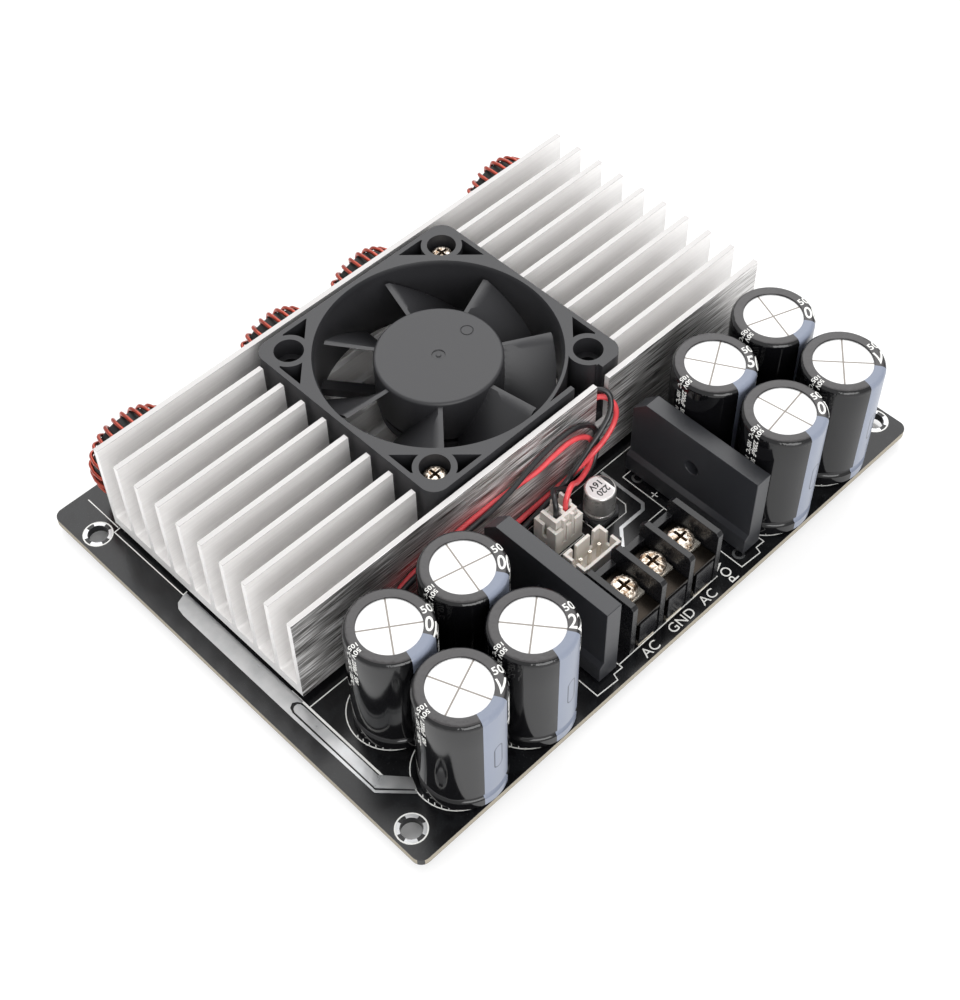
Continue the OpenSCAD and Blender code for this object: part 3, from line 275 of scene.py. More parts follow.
# The circuit board: epoxy glass with a gloss black mask on both faces. Its sawn edge shows the
# tan glass cloth. The white print, the tinned bus and the tinned hole rings lie on the mask.
mask, shader, place = finish("black solder mask", "#121315", roughness=0.2, specular_ior_level=0.35)
east, north, height = (along(place, k) for k in range(3))
half_wide, half_deep, middle_y = 67 * mm, 52 * mm, 2 * mm
rim_w, mask_h = 0.2 * mm, 0.08 * mm
short_sides = abs(east) > half_wide - rim_w
outside = short_sides.sum("MAXIMUM", short_sides, abs(north - middle_y) > half_deep - rim_w)
inside = (height > mask_h) * (height < board_top - mask_h) * outside
weave = grain(place, (1800, 1800, 9000))
edge = tint(weave, "#857d6d", "#b0a898")
pour = grain(place, (260, 260, 1))
dust = grain(place, (7000, 7000, 1), 1.0) > 0.74
face = tint(pour > 0.52, "#0d0d0f", "#131416")
speck = tint(dust * 0.3, face, "#8d8f90")
tint(inside, speck, edge).feeds(shader, "Base Color")
(0.15 + pour * 0.1 + inside * 0.45).feeds(shader, "Roughness")
bump(pour, 0.06, 0.00003, shader)


def dress(node, material):
    """Gives a solid its finish."""
    nodes[node].data.materials.clear()
    nodes[node].data.materials.append(material)


dress("circuit_board", mask)
print_ink, shader, place = finish("white print", "#e9e9e6", roughness=0.55)
flecks = grain(place, (4000, 4000, 4000))
tint(flecks, "#dcdcd8", "#f1f1ee").feeds(shader, "Base Color")
(0.45 + flecks * 0.25).feeds(shader, "Roughness")

print_h = 0.03 * mm


def raised(shape, faces, thick):
    """Gives flat faces their thickness."""
    grown = bmesh.ops.extrude_face_region(shape, geom=faces)
    top = [g for g in grown["geom"] if isinstance(g, bmesh.types.BMVert)]
    bmesh.ops.translate(shape, vec=(0, 0, thick), verts=top)


def ribbon(shape, points, width, low, thick):
    """A flat band along a line of points, mitred where the line turns."""
    line = [Vector(p) * mm for p in points]
    loop = points[0] == points[-1]
    rails = []
    for i, here in enumerate(line):
        back = here - line[i - 1] if i else here - line[-2] if loop else line[1] - here
        on = line[i + 1] - here if i < len(line) - 1 else line[1] - here if loop else back
        back, on = back.normalized(), on.normalized()
        side = Vector((-(back + on).y, (back + on).x)).normalized()
        side *= width / 2 * mm / max(0.3, side.dot(Vector((-on.y, on.x))))
        rails.append([shape.verts.new((*(here + s * side), low)) for s in (1, -1)])
    raised(shape, [shape.faces.new((a[0], a[1], b[1], b[0])) for a, b in zip(rails, rails[1:])], thick)


def plate(shape, outline, low, thick):
    """A flat plate with this outline."""
    raised(shape, [shape.faces.new([shape.verts.new((x * mm, y * mm, low)) for x, y in outline])], thick)


def washer(shape, centre, inner, outer, low, high, start=0.0, sweep=360.0, steps=48):
    """A flat ring, or a part of one, spun round a point of the plane."""
    corners = [(inner, low), (outer, low), (outer, high), (inner, high)]
    made = [shape.verts.new((r * mm, 0, z)) for r, z in corners]
    shape.faces.new(made)
    edges = list({e for v in made for e in v.link_edges})
    faces = list({f for v in made for f in v.link_faces})
    whole = sweep > 359
    bmesh.ops.rotate(shape, cent=(0, 0, 0), matrix=Matrix.Rotation(math.radians(start), 3, "Z"), verts=made)
    if whole:
        bmesh.ops.delete(shape, geom=faces, context="FACES_ONLY")
        faces = []
    bmesh.ops.spin(shape, geom=made + edges + faces, cent=(0, 0, 0), axis=(0, 0, 1), dvec=(0, 0, 0),
                   angle=math.radians(sweep), steps=steps, use_merge=whole)
    linked, walk = set(made), list(made)
    while walk:
        for e in walk.pop().link_edges:
            for v in e.verts:
                if v not in linked:
                    linked.add(v)
                    walk.append(v)
    bmesh.ops.translate(shape, vec=Vector((*centre, 0)) * mm, verts=list(linked))


def lettering(shape, words, corner, high, turn=0.0, thick=print_h, base=board_top, bold=0.0):
    """Plain printed letters of this height, starting at a corner, lying on the board."""
    curve = bpy.data.curves.new("letters", "FONT")
    curve.body = words
    size_per_height = 1.38
    curve.size = high * mm * size_per_height
    curve.extrude = thick / 2
    curve.offset = bold * mm
    curve.resolution_u = 5
    holder = bpy.data.objects.new("letters", curve)
    bpy.context.scene.collection.objects.link(holder)
    bpy.context.view_layer.update()
    flat = holder.evaluated_get(bpy.context.evaluated_depsgraph_get()).to_mesh()
    before = set(shape.verts)
    shape.from_mesh(flat)
    fresh = [v for v in shape.verts if v not in before]
    bpy.data.objects.remove(holder)
    bmesh.ops.rotate(shape, cent=(0, 0, 0), matrix=Matrix.Rotation(math.radians(turn), 3, "Z"), verts=fresh)
    bmesh.ops.translate(shape, vec=(corner[0] * mm, corner[1] * mm, base + thick / 2), verts=fresh)


shape = bmesh.new()
for words, corner in (("AC", (-10.2, -49.5)), ("GND", (-2.9, -49.4)), ("AC", (5.8, -49.4))):
    lettering(shape, words, corner, 2.1)
lettering(shape, "POW", (15.4, -49.8), 2.1, 90)
outlines = [
    [(-14.9, -46.8), (12.6, -46.6)],
    [(-22.1, -18.1), (-22.3, -48.5), (-17.3, -48.8), (-16.9, -47.5), (-14.8, -47.6), (-14.8, -18.1),
     (-22.1, -18.1)],
    [(17.6, -18.1), (17.4, -48.5), (22.4, -48.8), (22.8, -47.5), (24.9, -47.6), (24.9, -18.1),
     (17.6, -18.1)],
    [(17.4, -28.9), (12.8, -28.9)],
    [(-59.8, 52.1), (-59.8, 42.5)],
    [(-59.6, 42.2), (-61, 42.1), (-60.8, 21.2), (-59.8, 21.3)],
    [(-60, -13.9), (62.4, -13.9), (62.4, 43.4)],
    [(-8.2, -32), (2.2, -32), (2.2, -25.7), (-8.2, -25.7), (-8.2, -32)],
    [(-6, -22.4), (2, -22.4), (2, -16.1), (-6, -16.1), (-6, -22.4)],
    [(4.3, -24.4), (11.6, -24.4), (13, -23), (13, -18.4), (11.6, -17), (4.3, -17), (4.3, -24.4)],
    [(17.9, -25.4), (19.5, -25.4)], [(18.7, -26.2), (18.7, -24.6)],
]
for points in outlines:
    ribbon(shape, points, 0.2, board_top, print_h)
ribbon(shape, [(-60.2, -9), (-60.2, -33.1)], 0.42, board_top, print_h)
grid = [(side, row, col) for side in (-1, 1) for row in (0, 1) for col in (0, 1)]
cap_spots = [(side * (32.6 + col * 16.9), -42.2 + row * 16.6) for side, row, col in grid]
mark_r, tick = 8.2, Vector((0.45, 0.5))
for x, y in cap_spots:
    centre = Vector((x - 0.5, y + 1))
    washer(shape, centre, mark_r - 0.08, mark_r + 0.12, board_top, board_top + print_h)
    for k in range(6):
        a = math.radians(180 + k * 9)
        foot = centre + mark_r * Vector((math.cos(a), math.sin(a)))
        ribbon(shape, [tuple(foot), tuple(foot + tick)], 0.16, board_top, print_h)
hole_spots = [(x, y) for x in (-63.5, 63.5) for y in (-44, 44)]
ring_in, ring_out = 2.05, 2.72
for spot in hole_spots:
    washer(shape, spot, ring_out, 2.98, board_top, board_top + print_h)
settle("board_print", shape, print_ink, "circuit_board")

tin, shader, place = finish("tinned copper", "#c3cad2", metallic=1.0, roughness=0.32)
flow = grain(place, (350, 350, 350))
tint(flow, "#a3a6a8", "#c9c8c8").feeds(shader, "Base Color")
(0.2 + flow * 0.26).feeds(shader, "Roughness")
bump(flow, 0.2, 0.0002, shader)
shape = bmesh.new()
tin_h = 0.05 * mm
bus = [(-60.1, 21.1), (-60.9, 21.1), (-62.6, 20.5), (-63.4, 19.4), (-63.7, 17.5), (-63.65, -13.8),
       (-63.35, -34.6), (-58.3, -39.9), (-57.9, -39.5), (-62.95, -34.3), (-63, -12.6), (-62.6, -11.5),
       (-61.7, -11), (-60.9, -11.5), (-60.5, -12.2), (-60.1, -12.2)]
plate(shape, bus, board_top, tin_h)
solder_run = [(-62.7, -12.9), (-62.4, -12.2), (-61.9, -11.9), (-61.3, -11.9), (-60.9, -12.3),
              (-60.75, -13), (-60.7, -32.5), (-56.8, -37), (-57.8, -39.3), (-62.7, -34.1)]
plate(shape, solder_run, board_top, 4 * tin_h)
trace = [(15.5, -14.3), (15.5, -25.2), (14.4, -26.25), (8.2, -26.25), (5.1, -29.5)]
ribbon(shape, trace, 0.7, board_top, tin_h)
pad_in, pad_out = 0.75, 1.25
for spot in ((19.5, -20.3), (19.3, -46.1)):
    washer(shape, spot, pad_in, pad_out, board_top, board_top + tin_h)
pad_sweep = 54
for spot in hole_spots:
    for k in range(4):
        start = 90 * k + 45 - pad_sweep / 2
        washer(shape, spot, ring_in, ring_out, board_top, board_top + tin_h, start, pad_sweep, 10)
settle("tinned_bus_and_rings", shape, tin, "circuit_board", slot="solder")
dress("solder_joints", tin)


# The heat sink: one length of extruded aluminium, left bright. The extrusion draws fine lines along
# its faces, the front is brushed, the ends are sawn, and the pocket for the fan is milled. Under it
# lie two amplifier chips on soft grey pads, and screws from below hold it to the board.
aluminium, shader, place = finish("extruded aluminium", "#f0edea", metallic=0.6, roughness=0.4)
draw = grain(place, (25, 2600, 2600), 4.0)
broad = grain(place, (12, 90, 400), 3.0)
north, height = (along(place, k) for k in (1, 2))
sink_top = max(v.co.z for v in nodes["heat_sink"].data.vertices)
front_limit, rear_limit, top_limit = -12.15 * mm, 42.7 * mm, sink_top - 0.1 * mm
brushed = north < front_limit
# Painted shade: the top faces and the rear face are painted a darker grey, to hold down the light that the
# overhead box throws on them.
painted_shade_top_and_back = height.sum("MAXIMUM", height > top_limit, north > rear_limit)
strokes = grain(place, (110, 1, 3400), 2.0)
strokes = strokes.node("ShaderNodeMapRange", {}, {"Value": strokes, "From Min": 0.36, "From Max": 0.64})
streak = brushed * strokes
plain = tint(draw * 0.6 + broad * 0.4, "#dfdddc", "#fdfcfb")
plain = tint(painted_shade_top_and_back * 0.85, plain, "#a9a7a6")
streaked = tint(streak, "#8d8987", "#fffefd")
tint(brushed, plain, streaked).feeds(shader, "Base Color")
(0.34 + draw * 0.2 - brushed * 0.16 + streak * 0.28).feeds(shader, "Roughness")
(0.42 + brushed * 0.5 - streak * 0.34).feeds(shader, "Metallic")
bump(draw + streak * 0.6, 0.22, 0.00005, shader)
broken_edges("heat_sink", aluminium, 0.12)
pad, shader, place = finish("thermal pad", "#8b9096", roughness=0.8)
tint(grain(place, (1500, 1500, 1500)), "#7c8188", "#9aa0a6").feeds(shader, "Base Color")
dress("thermal_pads", pad)
epoxy, shader, place = finish("moulded black epoxy", "#26272a", roughness=0.5)
pits = grain(place, (6000, 6000, 6000), 2.0)
tint(pits, "#202124", "#303135").feeds(shader, "Base Color")
(0.26 + pits * 0.2).feeds(shader, "Roughness")
bump(pits, 0.25, 0.00004, shader)
for node in ("amplifier_chip_1", "amplifier_chip_2"):
    dress(node, epoxy)
plating, shader, place = finish("nickel plate", "#e6e0d6", metallic=0.85, roughness=0.2)
swirl = grain(place, (1400, 1400, 1400))
tint(swirl, "#cfc5b4", "#f7f4ee").feeds(shader, "Base Color")
(0.12 + swirl * 0.2).feeds(shader, "Roughness")
bump(swirl, 0.1, 0.00005, shader)
broken_edges("sink_screws", plating, 0.08)


# The fan: frame and rotor moulded in black glass-filled plastic with a fine satin grain. The motor's
# steel cup, magnet, core and coils sit inside the hub, on the plate that four struts hold. Two plated
# cross-head screws on one diagonal fix it to the heat sink.
moulded, shader, place = finish("satin black plastic", "#29292b", roughness=0.45)
satin = grain(place, (5200, 5200, 5200), 2.0)
haze = grain(place, (70, 70, 70))
tint(haze, "#242426", "#2e2e31").feeds(shader, "Base Color")
(0.36 + satin * 0.12 + haze * 0.08).feeds(shader, "Roughness")
bump(satin, 0.18, 0.00003, shader)
broken_edges("fan_frame", moulded, 0.14)
broken_edges("fan_rotor", moulded, 0.1, limit=45)
screw_plate, shader, place = finish("plated screw", "#d0c0a8", metallic=0.9, roughness=0.2)
swirl = grain(place, (1300, 1300, 1300), 4.0)
swirl = swirl.node("ShaderNodeMapRange", {}, {"Value": swirl, "From Min": 0.38, "From Max": 0.6})
# Painted shade: the cross recess of each screw is painted a dark brown.
recess_painted_shade = place.node("ShaderNodeAttribute", {"attribute_name": "recess_painted_shade"}, {}, "Fac")
shine = tint(swirl, "#86705a", "#fff4e6")
tint(recess_painted_shade, shine, "#4c3722").feeds(shader, "Base Color")
(0.12 + swirl * 0.26).feeds(shader, "Roughness")
bump(swirl, 0.6, 0.00015, shader)


def cross_head(axes, top, head_r):
    """Notes which vertices of a screw lie down in its cross recess, where the screw's finish paints shade.
    """
    recess_r, floor, lip = 0.64 * head_r * mm, (top - 1.6) * mm, (top - 0.3) * mm

    def mark(shape):
        layer = shape.verts.layers.float.new("recess_painted_shade")
        for v in shape.verts:
            near = min((v.co.xy - Vector(a) * mm).length for a in axes)
            v[layer] = float(near < recess_r and floor < v.co.z < lip)
    return mark


fan_screw_spots, fan_screw_top, fan_screw_r = [(-19.7, -5.1), (20.3, 34.9)], 24.5, 2.3
fan_cross = cross_head(fan_screw_spots, fan_screw_top, fan_screw_r)
broken_edges("fan_screws", screw_plate, 0.05, merge=0.0, mark=fan_cross)
steel, shader, place = finish("cup steel", "#8d9094", metallic=1.0, roughness=0.35)
turned = grain(place, (200, 200, 4000))
(0.28 + turned * 0.2).feeds(shader, "Roughness")
for node in ("fan_yoke", "fan_shaft", "fan_stator"):
    dress(node, steel)
ferrite, shader, place = finish("bonded magnet", "#2c2c2e", roughness=0.6)
(0.5 + grain(place, (900, 900, 900)) * 0.25).feeds(shader, "Roughness")
dress("fan_magnet", ferrite)
bronze, shader, place = finish("sintered bronze", "#9a7f4c", metallic=1.0, roughness=0.4)
(0.3 + grain(place, (3000, 3000, 3000)) * 0.3).feeds(shader, "Roughness")
dress("fan_bearing", bronze)
enamel, shader, place = finish("enamelled copper", "#c04a30", metallic=0.85, roughness=0.22,
                               coat_weight=0.4, coat_roughness=0.12)
drawn = grain(place, (600, 600, 600))
tint(drawn, "#7a281c", "#bc4e38").feeds(shader, "Base Color")
(0.22 + drawn * 0.16).feeds(shader, "Roughness")
dress("fan_coils", enamel)
green, shader, place = finish("green solder mask", "#1f4a2a", roughness=0.3)
(0.24 + grain(place, (900, 900, 1)) * 0.16).feeds(shader, "Roughness")
dress("fan_driver_board", green)


# The supply capacitors: an aluminium can in a black vinyl sleeve shrunk over its edge. A pale stripe
# with oval marks shows the negative lead, and the bare top has a scored cross as its vent. The rating
# is printed in white along the sleeve and runs over its upper edge.
cap_r, cap_h, ring_r, top_drop = 8.0, 27.4, 5.7, 0.35
shoulder_r, ring_edge = 1.0, 0.1
crown_flat = cap_r - shoulder_r - ring_r - ring_edge
stripe_half = 0.39
sleeve, shader, place = finish("black sleeve", "#0c0c0e", roughness=0.12)
spot = place.node("ShaderNodeAttribute", {"attribute_name": "turned"}, {}, "Vector")
spot_x, spot_y, spot_z = (along(spot, k) for k in range(3))
angle = spot_x.sum("ARCTAN2", spot_y, spot_x)
stripe = abs(angle) < stripe_half
oval_z, oval_straight, oval_r, oval_line = 14, 2.3, 0.95, 0.14
across = angle * cap_r
past = abs(spot_z * (1 / mm) - oval_z) - oval_straight
lengthways = past.sum("MAXIMUM", past, 0.0)
far = across * across + lengthways * lengthways
outline = abs(far.sum("SQRT", far) - oval_r) < oval_line
crown = spot_z > (cap_h - 0.1) * mm
shoulder = spot_z > (cap_h - 1.2) * mm
wrap = grain(place, (160, 160, 60), 2.0)
crease = grain(place, (900, 900, 500), 2.0)
vinyl_black = tint(crown, "#0c0c0e", "#343233")
ink = tint(stripe, vinyl_black, "#7f8696")
tint(outline * stripe, ink, "#39414f").feeds(shader, "Base Color")
(0.06 + wrap * 0.08 + stripe * 0.2 + crown * 0.24).feeds(shader, "Roughness")
bump(wrap * 0.3 + shoulder * crease, 0.4, 0.0003, shader)

can_top, shader, place = finish("bare can top", "#e0e0e0", metallic=0.25, roughness=0.5)
spot = place.node("ShaderNodeAttribute", {"attribute_name": "turned"}, {}, "Vector")
spot_x, spot_y = (along(spot, k) for k in range(2))
score_half = 0.16 * mm
one_score = abs(spot_x) < score_half
score_painted_shade = one_score.sum("MAXIMUM", one_score, abs(spot_y) < score_half)
spun = grain(place, (700, 700, 10))
metal_tone = tint(spun, "#d6d6d6", "#e6e6e6")
# Painted shade: the scored cross is painted a darker grey, for the shade in its grooves.
tint(score_painted_shade, metal_tone, "#857f79").feeds(shader, "Base Color")
(0.34 + spun * 0.2).feeds(shader, "Roughness")
bump(1 - score_painted_shade + spun * 0.05, 0.5, 0.0001, shader)


def spun_profile(shape, profile, steps=72):
    """A shape turned on the Z axis from a profile of radius and height, closed at the axis."""
    line = [shape.verts.new((r * mm, 0, z * mm)) for r, z in profile]
    edges = [shape.edges.new(pair) for pair in zip(line, line[1:])]
    bmesh.ops.spin(shape, geom=line + edges, cent=(0, 0, 0), axis=(0, 0, 1), dvec=(0, 0, 0),
                   angle=math.radians(360), steps=steps, use_merge=True)
    bmesh.ops.remove_doubles(shape, verts=shape.verts, dist=1e-7)


def turned_spot(shape, angle):
    """Notes on every vertex where it lies on its own part, turned by an angle about the axis."""
    layer = shape.verts.layers.float_vector.new("turned")
    for v in shape.verts:
        v[layer] = Matrix.Rotation(-math.radians(angle), 3, "Z") @ v.co


def swing(centre, reach, angles):
    """Points of an arc about a centre, with its reach across and its reach up."""
    swept = [math.radians(a) for a in angles]
    return [(centre[0] + reach[0] * math.cos(a), centre[1] + reach[1] * math.sin(a)) for a in swept]


arc = swing((cap_r - shoulder_r, cap_h - shoulder_r), (shoulder_r, shoulder_r), range(0, 91, 15))
bead_z, bead_in, bead_half = 3.4, 0.6, 0.9
bead = swing((cap_r, bead_z), (-bead_in, bead_half), range(-90, 91, 30))
profile = [(0, 0.3), (cap_r - 0.5, 0.3), (cap_r, 0.6), (cap_r, bead_z - 1), *bead, (cap_r, bead_z + 1),
           (cap_r, 12), (cap_r, 20), *arc, (ring_r + ring_edge, cap_h), (ring_r, cap_h - ring_edge),
           (ring_r, cap_h - top_drop - ring_edge)]
top_line = [(0, cap_h - top_drop), (ring_r, cap_h - top_drop)]
turns = [-80, -84, -78, -82, -81, -79, -84, -80]
scores = [38, 22, -14, 55, 8, 41, 30, -20]
for i, (x, y) in enumerate(cap_spots):
    spot_at = Vector((x * mm, y * mm, board_top))
    for part, line, turn in (("sleeve", profile, turns[i]), ("top", top_line, scores[i])):
        shape = bmesh.new()
        spun_profile(shape, line)
        turned_spot(shape, turn)
        bmesh.ops.translate(shape, vec=spot_at, verts=shape.verts)
        for f in shape.faces:
            f.smooth = True
        for e in shape.edges:
            e.smooth = not e.is_manifold or e.calc_face_angle() < math.radians(45)
        node = f"capacitor_{i + 1}"
        piece = settle(f"{node}_{part}", shape, sleeve if part == "sleeve" else can_top, node,
                       slot="cap_sleeve" if part == "sleeve" else "metal_can")
        if part == "sleeve":
            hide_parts(node)


def down_the_can(shape, words, at, turn, start, high, narrow=1.0):
    """Letters printed along a can's axis: from the flat crown, over the shoulder, down the side."""
    text = bmesh.new()
    lettering(text, words, (0, 0), high, 0.0, 0.02 * mm, 0.0, 0.02 * high)
    for k in range(12):
        over_shoulder = ((crown_flat + 0.2 * k - start) / narrow, 0, 0)
        round_the_can = (0, 0.4 * (k + 1), 0)
        for spot, way in ((over_shoulder, (1, 0, 0)), (round_the_can, (0, 1, 0))):
            bmesh.ops.bisect_plane(text, geom=text.verts[:] + text.edges[:] + text.faces[:], dist=1e-8,
                                   plane_co=Vector(spot) * mm, plane_no=way)
    for v in text.verts:
        reach, side, lift = (c / mm for c in v.co)
        reach = start + reach * narrow
        past_flat = max(reach - crown_flat, 0.0)
        bend = min(past_flat / shoulder_r, math.pi / 2)
        down = max(past_flat - shoulder_r * math.pi / 2, 0.0)
        far = ring_r + ring_edge + min(reach, crown_flat) + (shoulder_r + lift) * math.sin(bend)
        high_up = cap_h - shoulder_r - down + (shoulder_r + lift) * math.cos(bend)
        a = math.radians(turn) + side / cap_r
        v.co = at + Vector((far * math.cos(a), far * math.sin(a), high_up)) * mm
    flat = bpy.data.meshes.new("letters")
    text.to_mesh(flat)
    text.free()
    shape.from_mesh(flat)
    bpy.data.meshes.remove(flat)


shape = bmesh.new()
ratings = ["2200\u00b5F", "V 2200\u00b5F", "00\u00b5F 50V", "0\u00b5F 50V",
           "0V 2200", "V 2200\u00b5F", "50V 2200", "00\u00b5F 50V"]
for (x, y), turn, words in zip(cap_spots, turns, ratings):
    at = Vector((x * mm, y * mm, board_top))
    down_the_can(shape, words, at, turn + 28, 0.1, 3.6, 0.6)
    down_the_can(shape, "50V 105\u00b0C", at, turn + 60, 0.1, 1.9, 0.8)
    down_the_can(shape, "105\u00b0C  105\u00b0C  105\u00b0C", at, turn - 111.6, 0.2, 1.0)
    down_the_can(shape, "50V  2200\u00b5F  50V", at, turn - 101.6, 0.6, 1.0)
settle("capacitor_print", shape, print_ink, "capacitor_1")
shape = bmesh.new()
lead_half, lead_r, lead_l = 3.75, 0.4, 4
for x, y in cap_spots:
    for s in (-lead_half, lead_half):
        lead_at = Matrix.Translation(Vector((x + s, y, 0)) * mm)
        bmesh.ops.create_cone(shape, cap_ends=True, segments=16, radius1=lead_r * mm, radius2=lead_r * mm,
                              depth=lead_l * mm, matrix=lead_at)
settle("capacitor_leads", shape, plating, "circuit_board", slot="tinned_pin")


# The rectifiers: four diodes in one flat slab of black epoxy, standing on edge. A screw hole goes
# through the middle, one upper corner is cut, and the leads come out of the thicker lower bar.
for i in (1, 2):
    broken_edges(f"rectifier_{i}", epoxy, 0.22)
dress("rectifier_leads", plating)


# The supply terminals: a black barrier block with three nickel-plated contacts. Each has a screw that
# pulls a ribbed square washer down on the wire, and its foot goes through the board. In front of each
# foot the block has a thin skirt.
block_black, shader, place = finish("black block plastic", "#121214", roughness=0.3, specular_ior_level=0.4)
sheen = grain(place, (2400, 2400, 2400))
tint(sheen, "#0e0e10", "#17171a").feeds(shader, "Base Color")
(0.22 + sheen * 0.12).feeds(shader, "Roughness")
bump(sheen, 0.1, 0.00003, shader)
broken_edges("terminal_block", block_black, 0.14)
# Painted reflection: above the foot the contact plate is painted a dark brown, for the black block walls it
# reflects. The feet keep the bright plate.
contact_painted_dark, shader, place = finish("contact plate with painted dark reflection", "#5a5148", metallic=0.9, roughness=0.22)
foot_top = 3.1 * mm
low_foot = along(place, 2) < foot_top
tint(low_foot, "#2b2621", "#d8d0c2").feeds(shader, "Base Color")
(0.16 + grain(place, (900, 900, 900)) * 0.16).feeds(shader, "Roughness")
broken_edges("terminal_contacts", contact_painted_dark, 0.08)
shape = bmesh.new()
pitch, block_x = 7.62, 0.3
poles = [block_x + k * pitch for k in (-1, 0, 1)]
screw_y, screw_top, screw_r = -40.45, 12.8, 2.6
skirt_middle, skirt_size = (-46.725, 6.0), Vector((4.6, 0.25, 6.2))
for x in poles:
    middle = Vector((x, *skirt_middle)) * mm
    bmesh.ops.create_cube(shape, matrix=Matrix.LocRotScale(middle, None, skirt_size * mm))
bmesh.ops.bevel(shape, geom=shape.edges[:], offset=0.08 * mm, affect="EDGES", segments=2, profile=0.5,
                material=-1)
settle("terminal_block_skirt", shape, block_black, "terminal_block")
for i, x in enumerate(poles, 1):
    broken_edges(f"terminal_clamp_{i}", plating, 0.06)
    cross = cross_head([(x, screw_y)], screw_top, screw_r)
    broken_edges(f"terminal_screw_{i}", screw_plate, 0.05, merge=0.0, mark=cross)


# The headers and the fan's plug: natural nylon, a warm white that lets a little light in, with tinned
# square pins pressed through the floor.
for node in ("fan_header", "audio_header", "speaker_header_1", "speaker_header_2"):
    broken_edges(node, nylon, 0.12)
broken_edges("header_pins", plating, 0.04)


# The surface-mount capacitor: a small bright can on a black plastic foot. Half of its top is inked
# black to mark the negative side, and the rating is printed on the other half. Small black chip parts
# are soldered to the board near it.
can, shader, place = finish("drawn can", "#d6d4d2", metallic=0.8, roughness=0.3)
drawn = grain(place, (300, 300, 2600))
tint(drawn, "#c4c1be", "#e4e2e0").feeds(shader, "Base Color")
(0.2 + drawn * 0.2).feeds(shader, "Roughness")
broken_edges("smd_capacitor", can, 0.1)
broken_edges("smd_capacitor_base", epoxy, 0.1)
dress("chip_resistors", epoxy)
print_white, shader, place = finish("white print on the can", "#e2dfdf", roughness=0.45)
tint(grain(place, (2500, 2500, 2500)), "#d6d2d2", "#e8e4e4").feeds(shader, "Base Color")
black_ink, shader, place = finish("black ink", "#141416", roughness=0.4)
(0.32 + grain(place, (2500, 2500, 2500)) * 0.2).feeds(shader, "Roughness")
smd_top, ink_h = board_top + 7.7 * mm, 0.02 * mm
rim_r, white_to, black_from = 2.75, 9.55, 9.6
rim = swing((8, -20.6), (rim_r, rim_r), range(0, 360, 6))
shape = bmesh.new()
plate(shape, [p for p in rim[9:52] if p[0] < white_to], smd_top, ink_h)
settle("small_can_print", shape, print_white, "smd_capacitor")
shape = bmesh.new()
plate(shape, [p for p in rim[52:] + rim[:9] if p[0] > black_from], smd_top, ink_h)
for words, y in (("220", -20.85), ("16V", -18.95)):
    lettering(shape, words, (9.3, y), 1.4, 180, ink_h, smd_top + ink_h, 0.04)
settle("small_can_marks", shape, black_ink, "smd_capacitor")


# The output inductors: a ring of pressed dark powder on its rim, wound with one enamelled copper wire.
# Both ends of the wire go down through the board, and the winding leaves a gap at the bottom.
ferrous, shader, place = finish("pressed powder core", "#2f3230", roughness=0.6)
powder = grain(place, (3500, 3500, 3500))
tint(powder, "#0f100f", "#1b1c1b").feeds(shader, "Base Color")
(0.5 + powder * 0.25).feeds(shader, "Roughness")
bump(powder, 0.3, 0.00005, shader)
core_out, core_in, core_side, wire_d = 9.0, 4.2, 3.5, 0.8
board_h, stand_off, tail_l = 1.6, 0.2, 2
core_z, core_y = board_h + stand_off + core_out + wire_d / 2, 47.2
turns_wound, wound_arc, corner = 22, 300.0, 0.8
coil_foot = core_out * math.sin(math.radians(180 - wound_arc / 2))
section = [(core_out, -core_side + corner), (core_out, core_side - corner), (core_out - corner, core_side),
           (core_in + corner, core_side), (core_in, core_side - corner), (core_in, -core_side + corner),
           (core_in + corner, -core_side), (core_out - corner, -core_side)]
knots = turns_wound * len(section)
for i, core_x in enumerate((-49.3, -13.0, 10.8, 49.6)):
    broken_edges(f"inductor_core_{i + 1}", ferrous, 0.1)
    wound = []
    for k in range(knots + 1):
        a = math.radians(270 - (360 - wound_arc) / 2 - wound_arc * k / knots)
        r, side = section[k % len(section)]
        wound.append((r * math.cos(a), side, r * math.sin(a)))
    (first_x, _, first_z), (last_x, _, last_z) = wound[0], wound[-1]
    tail, hole = -core_z - tail_l, -core_z + board_h
    first = [(-coil_foot, 0, tail), (-coil_foot, 0, hole), ((first_x - coil_foot) / 2, -0.6, first_z - 0.3)]
    last = [((last_x + coil_foot) / 2, -0.6, last_z - 0.3), (coil_foot, 0, hole), (coil_foot, 0, tail)]
    at = Vector((core_x, core_y, core_z))
    points = [(Vector(p) + at) * mm for p in first + wound + last]
    wire = drawn_wire(f"inductor_wire_{i + 1}", points, wire_d * mm, enamel, 3, 2)
    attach(wire, "board")
    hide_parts(f"inductor_winding_{i + 1}")


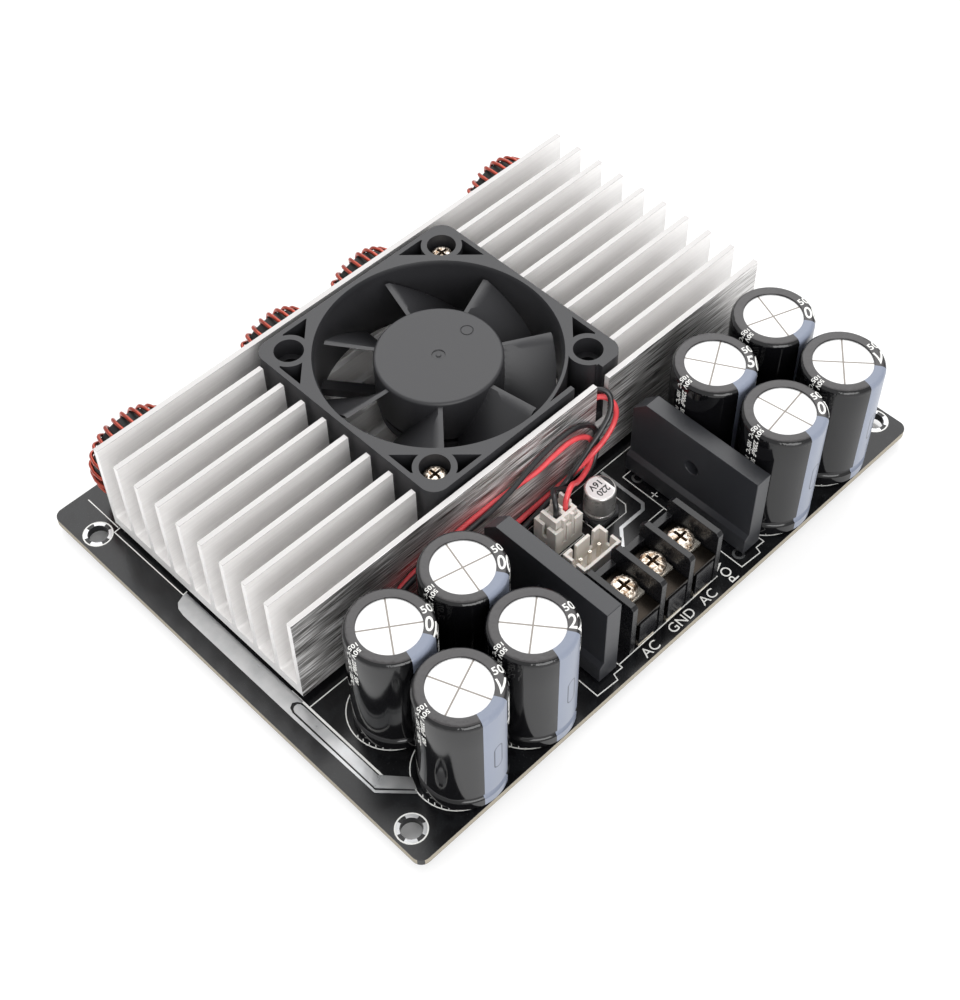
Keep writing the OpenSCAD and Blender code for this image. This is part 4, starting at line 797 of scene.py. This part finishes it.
# The table: a plain white sweep under the board. The lamps are two large soft boxes, one overhead and
# behind, one low in front, with an even pale surround.
paper = bpy.data.materials.new("white sweep")
paper.use_nodes = True
tree = paper.node_tree
tree.nodes.remove(tree.nodes["Principled BSDF"])
sheet_light = tree.nodes.new("ShaderNodeBsdfDiffuse")
sheet_light.inputs["Color"].default_value = (0.9, 0.9, 0.9, 1)
half_light = tree.nodes.new("ShaderNodeBsdfDiffuse")
half_light.inputs["Color"].default_value = (0.5, 0.5, 0.5, 1)
own_light = tree.nodes.new("ShaderNodeEmission")
own_light.inputs["Strength"].default_value = 0.55
both = tree.nodes.new("ShaderNodeAddShader")
tree.links.new(half_light.outputs[0], both.inputs[0])
tree.links.new(own_light.outputs[0], both.inputs[1])
rays = tree.nodes.new("ShaderNodeLightPath")
seen = Tone(tree, rays.outputs["Is Camera Ray"])
seen = seen.sum("MAXIMUM", seen, Tone(tree, rays.outputs["Is Glossy Ray"]))
seen = seen.sum("MAXIMUM", seen, Tone(tree, rays.outputs["Is Transmission Ray"]))
spot = Tone(tree, tree.nodes.new("ShaderNodeTexCoord").outputs["Object"])
east, north = (along(spot, k) for k in range(2))
shade_wide, shade_deep, shade_middle = 66 * mm, 49 * mm, 1 * mm
under = (abs(east) < shade_wide) * (abs(north - shade_middle) < shade_deep)
choice = tree.nodes.new("ShaderNodeMixShader")
tree.links.new((seen * (1 - under)).socket, choice.inputs[0])
tree.links.new(sheet_light.outputs[0], choice.inputs[1])
tree.links.new(both.outputs[0], choice.inputs[2])
tree.links.new(choice.outputs[0], tree.nodes["Material Output"].inputs["Surface"])
shape = bmesh.new()
lead_tips = Matrix.Translation((0, 0, -2.01 * mm))
bmesh.ops.create_grid(shape, x_segments=1, y_segments=1, size=3.0, matrix=lead_tips)
mesh = bpy.data.meshes.new("sweep")
shape.to_mesh(mesh)
shape.free()
mesh.materials.append(paper)
sweep = bpy.data.objects.new("sweep", mesh)
bpy.context.scene.collection.objects.link(sweep)

world = bpy.data.worlds.new("surround")
bpy.context.scene.world = world
world.use_nodes = True
sky = world.node_tree.nodes["Background"]
sky.inputs["Color"].default_value = (1, 1, 1, 1)
sky.inputs["Strength"].default_value = 0.8


def soft_box(name, place, target, width, watts):
    lamp = bpy.data.lights.new(name, "AREA")
    lamp.shape = "SQUARE"
    lamp.size = width
    lamp.energy = watts
    box = bpy.data.objects.new(name, lamp)
    box.location = place
    box.rotation_mode = "QUATERNION"
    box.rotation_quaternion = (Vector(target) - Vector(place)).to_track_quat("-Z", "Y")
    bpy.context.scene.collection.objects.link(box)


soft_box("overhead box", (0.4, 0.43, 0.75), (0, 0, 0), 1.0, 7.0)
soft_box("front box", (-0.35, -0.75, 0.45), (0, 0, 0), 0.6, 5.0)
bpy.context.scene.view_settings.view_transform = "Standard"
